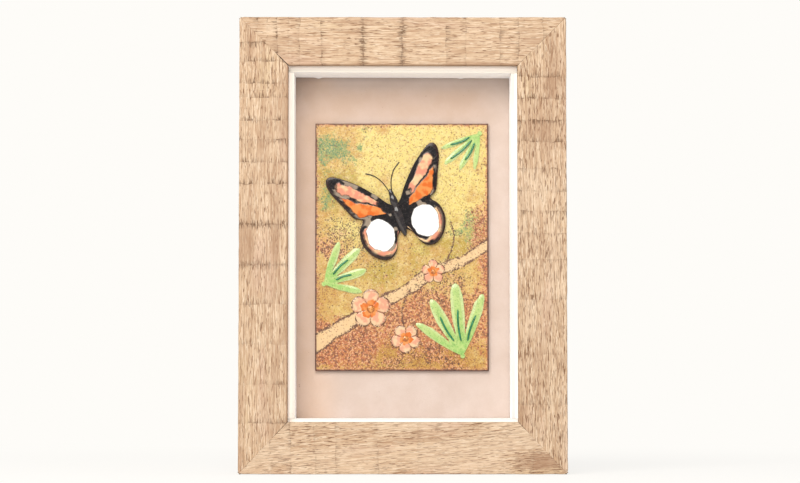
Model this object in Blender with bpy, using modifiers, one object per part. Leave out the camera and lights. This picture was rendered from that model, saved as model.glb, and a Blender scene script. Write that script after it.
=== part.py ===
"""A small enamelled copper panel in a deep, rough-sawn oak box frame.

Metres, +Z up. The front faces -Y, and the origin lies under the middle of the bottom rail.
Four mitred rails hold white spacer slips, a paper-covered mount board, the enamel plate with its
raised cut-out butterfly, and a back panel with four steel points and a toothed hanger.
"""
import math

import bmesh
import bpy
from mathutils import Matrix, Vector

# Frame opening and rails
sight_width = 0.0922
sight_height = 0.14325
side_rail_width = 0.0199
top_rail_width = 0.0198
bottom_rail_width = 0.02095
lip_width = 0.0040
lip_thickness = 0.0030
edge_ease = 0.0006
rear_ease = 0.0004
mitre_gap = 0.0003
foot_front = 0.0040

# Saw marks that cross the face of the rails
saw_pitch = 0.0085
saw_drift = 0.0013
saw_depth = 0.00030
saw_step_run = 0.0005
saw_drift_turn = 2.1
saw_height_turn = 2.4
saw_across_turn = 1.3

# What lies in the rebate, front to back
seat_gap = 0.0003
slip_depth = 0.0172
right_slip_thickness = 0.0060
left_slip_thickness = 0.00585
bottom_slip_thickness = 0.00505
top_slip_thickness = 0.00575
slip_side_clearance = 0.0004
slip_top_clearance = 0.0006
left_slip_drift = 0.0006
right_slip_lean = 0.0004
top_slip_drop = 0.00035
board_thickness = 0.0015
board_clearance = 0.0006
panel_thickness = 0.0025
panel_clearance = 0.0005
back_recess = 0.0030

# Enamel plate and its raised glass
plate_width = 0.0708
plate_height = 0.1012
plate_thickness = 0.0016
plate_edge_round = 0.00025
plate_shift = -0.0003
plate_drop = 0.0005
glass_rise = 0.00045
glass_sink = 0.0003
thread_radius = 0.00045

# Raised cut-out butterfly
wing_reach = 0.0240
butterfly_thickness = 0.0012
butterfly_tilt = 19.0
butterfly_centre = (-0.06, 0.30)
body_length = 0.0205
body_offset = -0.0012
body_width = 0.0036
body_rise = 0.0006
body_sunk_share = 0.2

# Back fittings
point_length = 0.0140
point_width = 0.0060
point_thickness = 0.0005
point_share = 0.52
hanger_length = 0.0360
hanger_height = 0.0090
hanger_thickness = 0.0008
hanger_stand_off = 0.0010
hanger_foot_length = 0.0060
foot_inset = 0.0006
hanger_from_top = 0.0260
tooth_count = 9
tooth_depth = 0.0016

# Worked out from the sizes above
overall_width = sight_width + 2 * side_rail_width
overall_height = sight_height + top_rail_width + bottom_rail_width
frame_depth = (lip_thickness + slip_depth + board_thickness + panel_thickness + 3 * seat_gap
               + back_recess)
sight_low = bottom_rail_width
sight_high = bottom_rail_width + sight_height
sight_middle = (sight_low + sight_high) / 2
half_sight = sight_width / 2
rebate_half = half_sight + lip_width
rebate_low = sight_low - lip_width
rebate_high = sight_high + lip_width
slip_front = lip_thickness + seat_gap
slip_back = slip_front + slip_depth
board_front = slip_back + seat_gap
board_back = board_front + board_thickness
panel_front = board_back + seat_gap
panel_back = panel_front + panel_thickness
plate_back = board_front - seat_gap
plate_front = plate_back - plate_thickness
butterfly_back = plate_front - seat_gap
butterfly_front = butterfly_back - butterfly_thickness
plate_centre = Vector((plate_shift, 0.0, sight_middle - plate_drop))

OBJECT_NAME = "enamel_panel"


def colour_material(name, colour, roughness, metallic):
    """One Principled material in the part's own plain colour."""
    material = bpy.data.materials.new(name)
    material.use_nodes = True
    shader = material.node_tree.nodes["Principled BSDF"]
    shader.inputs["Base Color"].default_value = (*colour, 1.0)
    shader.inputs["Roughness"].default_value = roughness
    shader.inputs["Metallic"].default_value = metallic
    material.diffuse_color = (*colour, 1.0)
    return material


def front_to_world(depth):
    """World Y of a depth measured back from the frame's front face."""
    return depth - frame_depth / 2


def add_object(name, bm, collection, material=None):
    """Make a named object from a bmesh, with its faces pointing out."""
    bmesh.ops.recalc_face_normals(bm, faces=bm.faces)
    mesh = bpy.data.meshes.new(name)
    bm.to_mesh(mesh)
    bm.free()
    obj = bpy.data.objects.new(name, mesh)
    collection.objects.link(obj)
    if material:
        mesh.materials.append(material)
    return obj


def loft(name, rings, collection, material):
    """Join matching section rings into one solid, with a flat cap on each end."""
    bm = bmesh.new()
    loops = [[bm.verts.new(point) for point in ring] for ring in rings]
    for near, far in zip(loops, loops[1:]):
        for i in range(len(near)):
            j = (i + 1) % len(near)
            bm.faces.new((near[i], near[j], far[j], far[i]))
    bm.faces.new(loops[0])
    bm.faces.new(loops[-1])
    return add_object(name, bm, collection, material)


def block(name, low, high, collection, material=None, ease=0.0):
    """A box between two corners, its edges eased by a small bevel."""
    bm = bmesh.new()
    size = Vector(high) - Vector(low)
    centre = (Vector(high) + Vector(low)) / 2
    placed = Matrix.Translation(centre) @ Matrix.Diagonal((*size, 1.0))
    bmesh.ops.create_cube(bm, size=1.0, matrix=placed)
    obj = add_object(name, bm, collection, material)
    if ease:
        soften(obj, ease, 1)
    return obj


def soften(obj, width, segments):
    """Round an object's sharp edges."""
    bevel = obj.modifiers.new("eased_edges", "BEVEL")
    bevel.width = width
    bevel.segments = segments
    bevel.limit_method = "ANGLE"
    bevel.angle_limit = math.radians(40)


def join_all(obj, shapes):
    """Fuse every solid of a collection into this one, so that all are one closed body."""
    joined = obj.modifiers.new("with_" + shapes.name, "BOOLEAN")
    joined.operation = "UNION"
    joined.solver = "EXACT"
    joined.operand_type = "COLLECTION"
    joined.collection = shapes
    for other in shapes.objects:
        other.hide_render = True
        other.display_type = "WIRE"


def new_collection(name):
    """A collection of the scene's own."""
    collection = bpy.data.collections.new(name)
    bpy.context.scene.collection.children.link(collection)
    return collection


def curve_to_mesh(curve_obj, collection):
    """Turn a filled or bevelled curve into a closed mesh object of the same name and place."""
    bpy.context.view_layer.update()
    evaluated = curve_obj.evaluated_get(bpy.context.evaluated_depsgraph_get())
    mesh = bpy.data.meshes.new_from_object(evaluated)
    bm = bmesh.new()
    bm.from_mesh(mesh)
    bmesh.ops.remove_doubles(bm, verts=bm.verts, dist=0.00001)
    bm.to_mesh(mesh)
    bm.free()
    name = curve_obj.name
    matrix = curve_obj.matrix_world.copy()
    bpy.data.objects.remove(curve_obj)
    obj = bpy.data.objects.new(name, mesh)
    obj.matrix_world = matrix
    collection.objects.link(obj)
    return obj


def flat_shape(name, outline, depth, thickness, collection):
    """A flat outline of (x, z) points, given its thickness about a depth from the front."""
    curve = bpy.data.curves.new(name, "CURVE")
    curve.dimensions = "2D"
    curve.fill_mode = "BOTH"
    curve.extrude = thickness / 2
    spline = curve.splines.new("POLY")
    spline.points.add(len(outline) - 1)
    for point, (x, z) in zip(spline.points, outline):
        point.co = (x, z, 0.0, 1.0)
    spline.use_cyclic_u = True
    obj = bpy.data.objects.new(name, curve)
    obj.rotation_euler = (math.radians(90), 0.0, 0.0)
    obj.location = (0.0, front_to_world(depth), 0.0)
    collection.objects.link(obj)
    return curve_to_mesh(obj, collection)


def round_thread(name, points, radius, depth, collection):
    """A thin glass thread laid along (x, z) points on the plate."""
    curve = bpy.data.curves.new(name, "CURVE")
    curve.dimensions = "3D"
    curve.bevel_depth = radius
    curve.bevel_resolution = 2
    curve.use_fill_caps = True
    spline = curve.splines.new("POLY")
    spline.points.add(len(points) - 1)
    for point, (x, z) in zip(spline.points, points):
        point.co = (x, front_to_world(depth), z, 1.0)
    obj = bpy.data.objects.new(name, curve)
    collection.objects.link(obj)
    return curve_to_mesh(obj, collection)


def mark_stations(half_run, phase):
    """Saw marks along a rail: evenly spaced places, each moved a little by a slow sine."""
    count = max(1, int(2 * half_run / saw_pitch))
    first = -saw_pitch * (count - 1) / 2
    return [first + saw_pitch * k + saw_drift * math.sin(saw_drift_turn * k + phase)
            for k in range(count)]


def step_height(k, across, phase):
    """How far the face lies back between two saw marks, from nothing to saw_depth."""
    turn = saw_height_turn * k + saw_across_turn * across + phase
    return saw_depth * (0.5 + 0.5 * math.sin(turn))


def rail_section(width, foot, wave):
    """The rebated profile as (in from the outer edge, back from the front), its face let back.

    wave gives how far each quarter of the face lies back; foot is the depth behind which the
    outer face runs true, or None where it is rough all the way to the back.
    """
    rebate = width - lip_width
    middle = (0.0, foot) if foot else (wave(0), frame_depth / 2)
    points = [middle, (wave(0), edge_ease + wave(0)), (edge_ease + wave(0), wave(0))]
    points += [(width / 3, wave(1)), (2 * width / 3, wave(2)), (width - edge_ease, wave(3))]
    points += [(width, edge_ease + wave(3)), (width, lip_thickness), (rebate, lip_thickness)]
    points += [(rebate, frame_depth), (rear_ease, frame_depth), (0.0, frame_depth - rear_ease)]
    return points


def rail(name, run, width, neighbours, phase, foot, place, collection, material):
    """One rail, saw-stepped along its whole run and cut to a mitre at each end.

    place turns (along the run, in from the outer edge, back from the front) into a point, and
    neighbours are the widths of the rails that meet this one at its start and at its end.
    """
    rings = []
    marks = [-run / 2 - saw_pitch] + mark_stations(run / 2, phase) + [run / 2 + saw_pitch]
    for k, along in enumerate(marks):
        for side, number in ((-1, k), (1, k + 1)):
            level = (lambda across, n=number: step_height(n, across, phase))
            station = along + side * saw_step_run / 2
            rings.append([place(station, w, d) for w, d in rail_section(width, foot, level)])
    obj = loft(name, rings[1:-1], collection, material)
    bm = bmesh.new()
    bm.from_mesh(obj.data)
    for sign, neighbour in zip((-1, 1), neighbours):
        corner = place(sign * run / 2, 0.0, 0.0)
        inner = place(sign * (run / 2 - neighbour), width, 0.0)
        middle = place(0.0, 0.0, 0.0)
        across = Vector(inner) - Vector(corner)
        normal = Vector((across.z, 0.0, -across.x)).normalized()
        if normal.dot(Vector(corner) - Vector(middle)) < 0:
            normal = -normal
        cut = bmesh.ops.bisect_plane(bm, geom=bm.verts[:] + bm.edges[:] + bm.faces[:],
                                     plane_co=Vector(corner) - normal * mitre_gap / 2,
                                     plane_no=normal, clear_outer=True)
        edges = [e for e in cut["geom_cut"] if isinstance(e, bmesh.types.BMEdge)]
        bmesh.ops.edgeloop_fill(bm, edges=edges)
    bmesh.ops.recalc_face_normals(bm, faces=bm.faces)
    bm.to_mesh(obj.data)
    bm.free()
    return obj


def make_rails(collection, material):
    """Four mitred rails around the opening."""
    top, right, y = overall_height, overall_width / 2, front_to_world
    middle = overall_height / 2
    sides = (side_rail_width, side_rail_width)
    ends = (bottom_rail_width, top_rail_width)
    rail("frame_rail_top", overall_width, top_rail_width, sides, 0.4, None,
         lambda s, w, d: (s, y(d), top - w), collection, material)
    rail("frame_rail_bottom", overall_width, bottom_rail_width, sides, 1.7, foot_front,
         lambda s, w, d: (s, y(d), w), collection, material)
    rail("frame_rail_left", overall_height, side_rail_width, ends, 2.9, None,
         lambda s, w, d: (w - right, y(d), middle + s), collection, material)
    rail("frame_rail_right", overall_height, side_rail_width, ends, 4.3, None,
         lambda s, w, d: (right - w, y(d), middle + s), collection, material)


def make_slips(collection, material):
    """White slips that hold the board back from the front lip; they lean and drift a little."""
    left_out = -rebate_half + slip_side_clearance
    right_out = rebate_half - slip_side_clearance
    low_out = rebate_low + seat_gap
    high_out = rebate_high - slip_top_clearance
    y_front, y_back = front_to_world(slip_front), front_to_world(slip_back)
    inner_low = low_out + bottom_slip_thickness
    inner_high = high_out - top_slip_thickness - top_slip_drop
    left_low = left_out + left_slip_drift
    right_lean = right_out - right_slip_lean
    block("spacer_bottom", (left_low, y_front, low_out), (right_lean, y_back, inner_low),
          collection, material)
    top = block("spacer_top", (left_out, y_front, inner_high), (right_lean, y_back, high_out),
                collection, material)
    for vertex in top.data.vertices:
        if vertex.co.x < 0:
            vertex.co.z += top_slip_drop * (1 if vertex.co.z < (inner_high + high_out) / 2 else 0)
    side_low, side_high = inner_low + seat_gap, inner_high - seat_gap
    left = block("spacer_left", (left_out, y_front, side_low),
                 (left_out + left_slip_thickness, y_back, side_high), collection, material)
    for vertex in left.data.vertices:
        if vertex.co.z < sight_middle:
            vertex.co.x += left_slip_drift
    right = block("spacer_right", (right_out - right_slip_thickness, y_front, side_low),
                  (right_out, y_back, side_high), collection, material)
    for vertex in right.data.vertices:
        if vertex.co.z > sight_middle and vertex.co.y > (y_front + y_back) / 2:
            vertex.co.x -= right_slip_lean


def make_boards(collection, board_material, panel_material):
    """The paper-covered mount board, and the panel that closes the back."""
    inset = board_clearance
    block("mount_board", (-rebate_half + inset, front_to_world(board_front), rebate_low + seat_gap),
          (rebate_half - inset, front_to_world(board_back), rebate_high - inset),
          collection, board_material)
    inset = panel_clearance
    block("back_panel", (-rebate_half + inset, front_to_world(panel_front), rebate_low + seat_gap),
          (rebate_half - inset, front_to_world(panel_back), rebate_high - inset),
          collection, panel_material)


def on_plate(share_x, share_z):
    """A place on the plate, given in shares of its half width and half height."""
    return (plate_centre.x + share_x * plate_width / 2, plate_centre.z + share_z * plate_height / 2)


# Leaf sprays: root in shares of the plate's half sizes, blade angles in degrees, longest blade
# in shares of the plate's width, and half the angle that one blade fills at its root
SPRAYS = (
    ("spray_low_right", (0.70, -0.88), (72, 96, 120, 145), 0.42, 11.0),
    ("spray_left", (-0.90, -0.30), (70, 45, 18, -12), 0.29, 12.0),
    ("spray_high_right", (0.90, 0.92), (201, 221, 241, 262), 0.27, 9.5),
)
BLADE_SHARES = (-1.0, -0.72, -0.46, -0.22, 0.0, 0.22, 0.46, 0.72, 1.0)
blade_shortening = 0.11
blade_fullness = 0.9
heel_radius = 0.0030
heel_steps = 6

# Glass threads laid on the sprays: spray number, blade number, start and end along the blade
THREADS = (
    (0, 0, 0.24, 0.66), (0, 1, 0.20, 0.64), (0, 2, 0.26, 0.70),
    (1, 1, 0.26, 0.68), (1, 2, 0.28, 0.66),
    (2, 0, 0.26, 0.76), (2, 1, 0.22, 0.84), (2, 2, 0.26, 0.74),
)
thread_bow = 0.0005
thread_sunk_share = 0.62

# Blossoms: centre in shares of the plate's half sizes, and radius in shares of the plate's width
BLOSSOMS = (((-0.36, -0.50), 0.118, 0.3), ((0.04, -0.74), 0.088, 0.9), ((0.36, -0.20), 0.072, 1.6))
bead_share = 0.2
petal_count = 5
petal_notch = 0.62


def blade_length(longest, number):
    """The blades of a spray shorten to either side of its second one."""
    return longest * plate_width * (1.0 - blade_shortening * abs(number - 1))


def spray_outline(root, angles, longest, half_angle):
    """A hand of lance blades round one root: each blade's reach falls as a cosine to its sides."""
    points = []
    order = sorted(range(len(angles)), key=lambda i: angles[i])
    for i in order:
        for share in BLADE_SHARES:
            fall = math.cos(math.pi / 2 * share) ** blade_fullness if abs(share) < 1.0 else 0.0
            reach = heel_radius + (blade_length(longest, i) - heel_radius) * fall
            points.append((angles[i] + half_angle * share, reach))
    first, last = points[0][0], points[-1][0]
    for k in range(1, heel_steps):
        points.append((last + (first + 360.0 - last) * k / heel_steps, heel_radius))
    return [(root[0] + reach * math.cos(math.radians(angle)),
             root[1] + reach * math.sin(math.radians(angle))) for angle, reach in points]


def blossom_outline(centre, radius, turn):
    """Five round petals: the radius swells and falls with half the petal angle."""
    steps = 8 * petal_count
    points = []
    for i in range(steps):
        angle = 2 * math.pi * i / steps
        swell = abs(math.cos(petal_count * (angle - turn) / 2)) ** 0.5
        reach = radius * (petal_notch + (1 - petal_notch) * swell)
        points.append((centre[0] + reach * math.cos(angle), centre[1] + reach * math.sin(angle)))
    return points


def make_plate(collection, material):
    """The enamelled copper plate, with its raised leaves, threads and blossoms fused on."""
    shapes = new_collection("raised_glass")
    half_w, half_h = plate_width / 2, plate_height / 2
    low = (plate_centre.x - half_w, front_to_world(plate_front), plate_centre.z - half_h)
    high = (plate_centre.x + half_w, front_to_world(plate_back), plate_centre.z + half_h)
    plate = block("enamel_plate", low, high, collection, material, plate_edge_round)
    raised_depth = plate_front + (glass_sink - glass_rise) / 2
    raised_thickness = glass_rise + glass_sink
    thread_depth = plate_front - glass_rise - thread_radius * (1 - thread_sunk_share)
    for name, share, angles, longest, half_angle in SPRAYS:
        outline = spray_outline(on_plate(*share), angles, longest, half_angle)
        flat_shape(name, outline, raised_depth, raised_thickness, shapes)
    for number, (spray_number, blade_number, start, end) in enumerate(THREADS):
        _, share, angles, longest, _ = SPRAYS[spray_number]
        root = on_plate(*share)
        length = blade_length(longest, blade_number)
        turn = math.radians(angles[blade_number])
        points = []
        for t in (start, (start + end) / 2, end):
            bend = thread_bow * math.sin(math.pi * (t - start) / (end - start))
            points.append((root[0] + length * t * math.cos(turn) - bend * math.sin(turn),
                           root[1] + length * t * math.sin(turn) + bend * math.cos(turn)))
        round_thread(f"thread_{number + 1}", points, thread_radius, thread_depth, shapes)
    for number, (share, radius, turn) in enumerate(BLOSSOMS):
        centre = on_plate(*share)
        outline = blossom_outline(centre, radius * plate_width, turn)
        flat_shape(f"blossom_{number + 1}", outline, raised_depth, raised_thickness, shapes)
        bm = bmesh.new()
        place = Matrix.Translation((centre[0], front_to_world(plate_front - glass_rise), centre[1]))
        bead = bead_share * radius * plate_width
        flatten = Matrix.Diagonal((bead, bead / 2, bead, 1.0))
        bmesh.ops.create_uvsphere(bm, u_segments=12, v_segments=6, radius=1.0, matrix=place @ flatten)
        add_object(f"bead_{number + 1}", bm, shapes)
    join_all(plate, shapes)


# Right half of the butterfly's wings in shares of their reach: neck, fore wing, hind wing, tail
WING_OUTLINE = ((0.0, 0.07), (0.12, 0.16), (0.27, 0.36), (0.55, 0.66), (0.86, 0.88), (0.99, 0.84),
                (0.98, 0.64), (0.86, 0.36), (0.74, 0.10), (0.61, 0.01), (0.72, -0.16),
                (0.74, -0.40), (0.62, -0.64), (0.42, -0.76), (0.24, -0.68), (0.12, -0.42),
                (0.0, -0.34))
curve_steps = 3


def smooth_through(points, steps):
    """Points on a Catmull-Rom curve through the given ones, steps to each stretch."""
    ahead = points[1:] + points[-1:]
    after = points[2:] + points[-1:] * 2
    before = points[:1] + points[:-1]
    curve = []
    for p0, p1, p2, p3 in zip(before, points, ahead, after):
        for k in range(steps):
            t = k / steps
            curve.append(tuple(0.5 * (2 * b + (c - a) * t + (2 * a - 5 * b + 4 * c - d) * t ** 2
                                      + (3 * b - a - 3 * c + d) * t ** 3)
                               for a, b, c, d in zip(p0, p1, p2, p3)))
    return curve[:steps * (len(points) - 1) + 1]


def butterfly_place(u, v):
    """From the butterfly's own wing line and body line to the plate."""
    centre = on_plate(*butterfly_centre)
    tilt = math.radians(butterfly_tilt)
    x = centre[0] + u * math.cos(tilt) - v * math.sin(tilt)
    z = centre[1] + u * math.sin(tilt) + v * math.cos(tilt)
    return (x, z)


def make_butterfly(collection, material):
    """The cut-out butterfly: one flat plate with its four wings, and a rounded body on it."""
    shapes = new_collection("butterfly_body")
    right_half = [(u * wing_reach, v * wing_reach)
                  for u, v in smooth_through(list(WING_OUTLINE), curve_steps)]
    left_half = [(-u, v) for u, v in right_half[-2:0:-1]]
    outline = [butterfly_place(u, v) for u, v in right_half + left_half]
    middle = (butterfly_front + butterfly_back) / 2
    wings = flat_shape("butterfly", outline, middle, butterfly_thickness, collection)
    wings.data.materials.clear()
    wings.data.materials.append(material)
    bm = bmesh.new()
    x, z = butterfly_place(0.0, body_offset)
    sunk = body_sunk_share * butterfly_thickness
    place = Matrix.Translation((x, front_to_world(butterfly_front + sunk), z))
    turn = Matrix.Rotation(-math.radians(butterfly_tilt), 4, "Y")
    flatten = Matrix.Diagonal((body_width / 2, body_rise + sunk, body_length / 2, 1.0))
    bmesh.ops.create_uvsphere(bm, u_segments=14, v_segments=12, radius=1.0,
                              matrix=place @ turn @ flatten)
    add_object("rounded_body", bm, shapes)
    join_all(wings, shapes)


def make_points(collection, material):
    """Four flat steel points that keep the back panel in, two on each upright."""
    y_low = front_to_world(panel_back + seat_gap)
    half_span = point_share * (rebate_high - rebate_low) / 2
    middle = (rebate_high + rebate_low) / 2
    outer = rebate_half - seat_gap
    for side, side_name in ((-1, "left"), (1, "right")):
        for level, level_name in ((-1, "low"), (1, "high")):
            z = middle + level * half_span
            ends = sorted((side * outer, side * (outer - point_length)))
            low = (ends[0], y_low, z - point_width / 2)
            high = (ends[1], y_low + point_thickness, z + point_width / 2)
            block(f"back_point_{side_name}_{level_name}", low, high, collection, material)


def make_hanger(collection, material):
    """A toothed hanger on the back panel: a bar with teeth along its lower edge, on two feet."""
    shapes = new_collection("hanger_feet")
    half = hanger_length / 2
    top = rebate_high - hanger_from_top
    bottom = top - hanger_height
    toothed = hanger_length - 2 * hanger_foot_length
    pitch = toothed / tooth_count
    outline = [(-half, top), (-half, bottom), (-toothed / 2, bottom)]
    for i in range(tooth_count):
        x = -toothed / 2 + i * pitch
        outline += [(x + pitch / 2, bottom + tooth_depth), (x + pitch, bottom)]
    outline += [(half, bottom), (half, top)]
    bar_middle = panel_back + seat_gap + hanger_stand_off + hanger_thickness / 2
    hanger = flat_shape("hanger", outline, bar_middle, hanger_thickness, collection)
    hanger.data.materials.clear()
    hanger.data.materials.append(material)
    y_low = front_to_world(panel_back + seat_gap)
    y_high = y_low + hanger_stand_off + hanger_thickness / 2
    for side, name in ((-1, "left"), (1, "right")):
        ends = sorted((side * (half - foot_inset), side * (half - hanger_foot_length)))
        block("foot_" + name, (ends[0], y_low, bottom + foot_inset),
              (ends[1], y_high, top - foot_inset), shapes)
    join_all(hanger, shapes)


def main():
    """Clear the scene and build the panel."""
    for obj in list(bpy.data.objects):
        bpy.data.objects.remove(obj)
    parts = new_collection(OBJECT_NAME)
    oak = colour_material("oak", (0.74, 0.54, 0.36), 0.75, 0.0)
    white = colour_material("white_slip", (0.90, 0.87, 0.82), 0.60, 0.0)
    paper = colour_material("mount_paper", (0.66, 0.53, 0.44), 0.90, 0.0)
    fibreboard = colour_material("fibreboard", (0.30, 0.20, 0.13), 0.80, 0.0)
    enamel = colour_material("enamel_ground", (0.72, 0.55, 0.20), 0.25, 0.0)
    black_enamel = colour_material("enamel_black", (0.02, 0.016, 0.016), 0.20, 0.0)
    steel = colour_material("zinced_steel", (0.55, 0.55, 0.54), 0.40, 1.0)
    brassed = colour_material("brassed_steel", (0.62, 0.48, 0.22), 0.40, 1.0)
    make_rails(parts, oak)
    make_slips(parts, white)
    make_boards(parts, paper, fibreboard)
    make_plate(parts, enamel)
    make_butterfly(parts, black_enamel)
    make_points(parts, steel)
    make_hanger(parts, brassed)


main()
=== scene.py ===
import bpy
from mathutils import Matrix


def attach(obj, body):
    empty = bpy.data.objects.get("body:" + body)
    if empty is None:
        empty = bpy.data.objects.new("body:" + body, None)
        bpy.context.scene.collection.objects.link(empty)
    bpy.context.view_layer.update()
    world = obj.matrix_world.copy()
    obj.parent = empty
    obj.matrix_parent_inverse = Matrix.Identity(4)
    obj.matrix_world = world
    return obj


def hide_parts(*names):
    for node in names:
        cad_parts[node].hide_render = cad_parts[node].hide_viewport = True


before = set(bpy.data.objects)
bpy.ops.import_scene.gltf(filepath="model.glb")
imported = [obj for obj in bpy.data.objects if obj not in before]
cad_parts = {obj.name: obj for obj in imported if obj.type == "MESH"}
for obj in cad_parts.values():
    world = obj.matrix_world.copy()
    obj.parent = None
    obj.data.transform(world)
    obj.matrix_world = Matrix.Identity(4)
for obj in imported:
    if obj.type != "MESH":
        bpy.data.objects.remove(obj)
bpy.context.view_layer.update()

"""Looks for the enamelled copper panel in its rough-sawn oak box frame.

Metres, +Z up, front to -Y. Lengths in the tables are millimetres and pass through MM.
Nearly every new piece is one closed skin: rings of points worked out as whole arrays, each ring
joined to the next, with a fan of triangles to one middle point at either end.
"""
import math

import bpy
import numpy as np

MM = 0.001

# Sizes shared with the solids
SIGHT_WIDTH, SIGHT_HEIGHT = 92.2 * MM, 143.25 * MM
SIDE_WIDTH, TOP_WIDTH, BOTTOM_WIDTH = 19.9 * MM, 19.8 * MM, 20.95 * MM
LIP_WIDTH, LIP_THICKNESS = 4.0 * MM, 3.0 * MM
FRAME_WIDTH = SIGHT_WIDTH + 2 * SIDE_WIDTH
FRAME_HEIGHT = SIGHT_HEIGHT + TOP_WIDTH + BOTTOM_WIDTH
FRAME_DEPTH = 28.1 * MM
SLIP_FRONT, SLIP_BACK = 3.3 * MM, 20.5 * MM
PLATE_FRONT, PLATE_BACK = 18.9 * MM, 20.5 * MM
WING_BACK, WING_FRONT = 18.6 * MM, 17.4 * MM
PLATE_WIDTH, PLATE_HEIGHT = 70.8 * MM, 101.2 * MM
PLATE_MIDDLE = (-0.3 * MM, 92.075 * MM)
GLASS_RISE = 0.45 * MM
WING_REACH = 24.0 * MM
WING_TILT = math.radians(19.0)
WING_CENTRE = (-0.06, 0.30)
BODY_HALF_WIDTH, BODY_HALF_LENGTH, BODY_HEIGHT = 1.8 * MM, 10.25 * MM, 0.68 * MM
BODY_DROP = 1.2 * MM     # how far the body's middle lies below the wings' own zero
FULL_LIGHT = 1.55        # what a white front surface sends back, where 1 is the screen's white
CORNER_POINTS = 6        # points round each rounded corner of a section


def world_y(depth):
    """World Y of a depth measured back from the frame's front face."""
    return depth - FRAME_DEPTH / 2


# Random fields
def hashed(i, j, seed):
    """A number from 0 to 1 for each pair of whole numbers, mixed by multiplying and shifting."""
    i, j = np.asarray(i).astype(np.int64), np.asarray(j).astype(np.int64)
    h = (i * 374761393 + j * 668265263 + seed * 974634777) & 0xFFFFFFFF
    h = ((h ^ (h >> 13)) * 1274126177) & 0xFFFFFFFF
    h = ((h ^ (h >> 16)) * 2246822519) & 0xFFFFFFFF
    return ((h ^ (h >> 13)) & 0xFFFF) / 65535.0


def value_noise(x, y, seed):
    """Smooth random heights from 0 to 1: hashed whole-number corners blended by a cubic."""
    x, y = np.broadcast_arrays(np.asarray(x, float), np.asarray(y, float))
    xi, yi = np.floor(x), np.floor(y)
    fx, fy = x - xi, y - yi
    fx, fy = fx * fx * (3 - 2 * fx), fy * fy * (3 - 2 * fy)
    low = hashed(xi, yi, seed) * (1 - fx) + hashed(xi + 1, yi, seed) * fx
    high = hashed(xi, yi + 1, seed) * (1 - fx) + hashed(xi + 1, yi + 1, seed) * fx
    return low * (1 - fy) + high * fy


def layered_noise(x, y, seed, layers=3):
    """Value noise summed over layers, each twice as fine and half as strong as the last."""
    total, weight = 0.0, 0.0
    for k in range(layers):
        total = total + value_noise(x * 2 ** k, y * 2 ** k, seed + 31 * k) / 2 ** k
        weight += 1 / 2 ** k
    return total / weight


def ease(low, high, value):
    """A smooth step from 0 at low to 1 at high."""
    t = np.clip((value - low) / (high - low), 0.0, 1.0)
    return t * t * (3 - 2 * t)


# Meshes
def closed_skin(name, rings, first, last, material, fields=None):
    """One closed solid from rings of points (rings, points, 3) and a middle point at each end.

    Each ring joins the next by four-sided faces and the ends close by fans. fields are numbers,
    or three numbers, for each point, kept as attributes. The winding follows the sign of the
    volume, so that the faces point outwards.
    """
    count, size = rings.shape[:2]
    points = np.concatenate([rings.reshape(-1, 3), [first], [last]])
    index = np.arange(count * size).reshape(count, size)
    ahead = np.roll(index, -1, axis=1)
    quads = np.stack([index[:-1], ahead[:-1], ahead[1:], index[1:]], axis=-1).reshape(-1, 4)
    start = np.stack([np.full(size, count * size), ahead[0], index[0]], axis=-1)
    end = np.stack([np.full(size, count * size + 1), index[-1], ahead[-1]], axis=-1)
    fans = np.concatenate([start, end])
    corners = np.concatenate([quads[:, [0, 1, 2]], quads[:, [0, 2, 3]], fans])
    a, b, c = (points[corners[:, k]] for k in range(3))
    if np.einsum("ij,ij->i", a, np.cross(b, c)).sum() < 0:
        quads, fans = quads[:, ::-1], fans[:, ::-1]
    mesh = bpy.data.meshes.new(name)
    mesh.vertices.add(len(points))
    mesh.vertices.foreach_set("co", points.astype(np.float32).ravel())
    mesh.loops.add(quads.size + fans.size)
    mesh.loops.foreach_set("vertex_index", np.concatenate([quads.ravel(), fans.ravel()]))
    mesh.polygons.add(len(quads) + len(fans))
    starts = np.concatenate([4 * np.arange(len(quads)), quads.size + 3 * np.arange(len(fans))])
    mesh.polygons.foreach_set("loop_start", starts)
    mesh.update(calc_edges=True)
    mesh.polygons.foreach_set("use_smooth", np.ones(len(mesh.polygons), bool))
    for field, values in (fields or {}).items():
        wide = values.ndim == 3
        flat = values.reshape(count * size, -1)
        flat = np.concatenate([flat, flat[:1], flat[-1:]]).astype(np.float32)
        kind = "FLOAT_VECTOR" if wide else "FLOAT"
        layer = mesh.attributes.new(field, kind, "POINT")
        layer.data.foreach_set("vector" if wide else "value", flat.ravel())
    mesh.materials.append(material)
    obj = bpy.data.objects.new(name, mesh)
    bpy.context.scene.collection.objects.link(obj)
    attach(obj, "root")
    return obj


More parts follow.
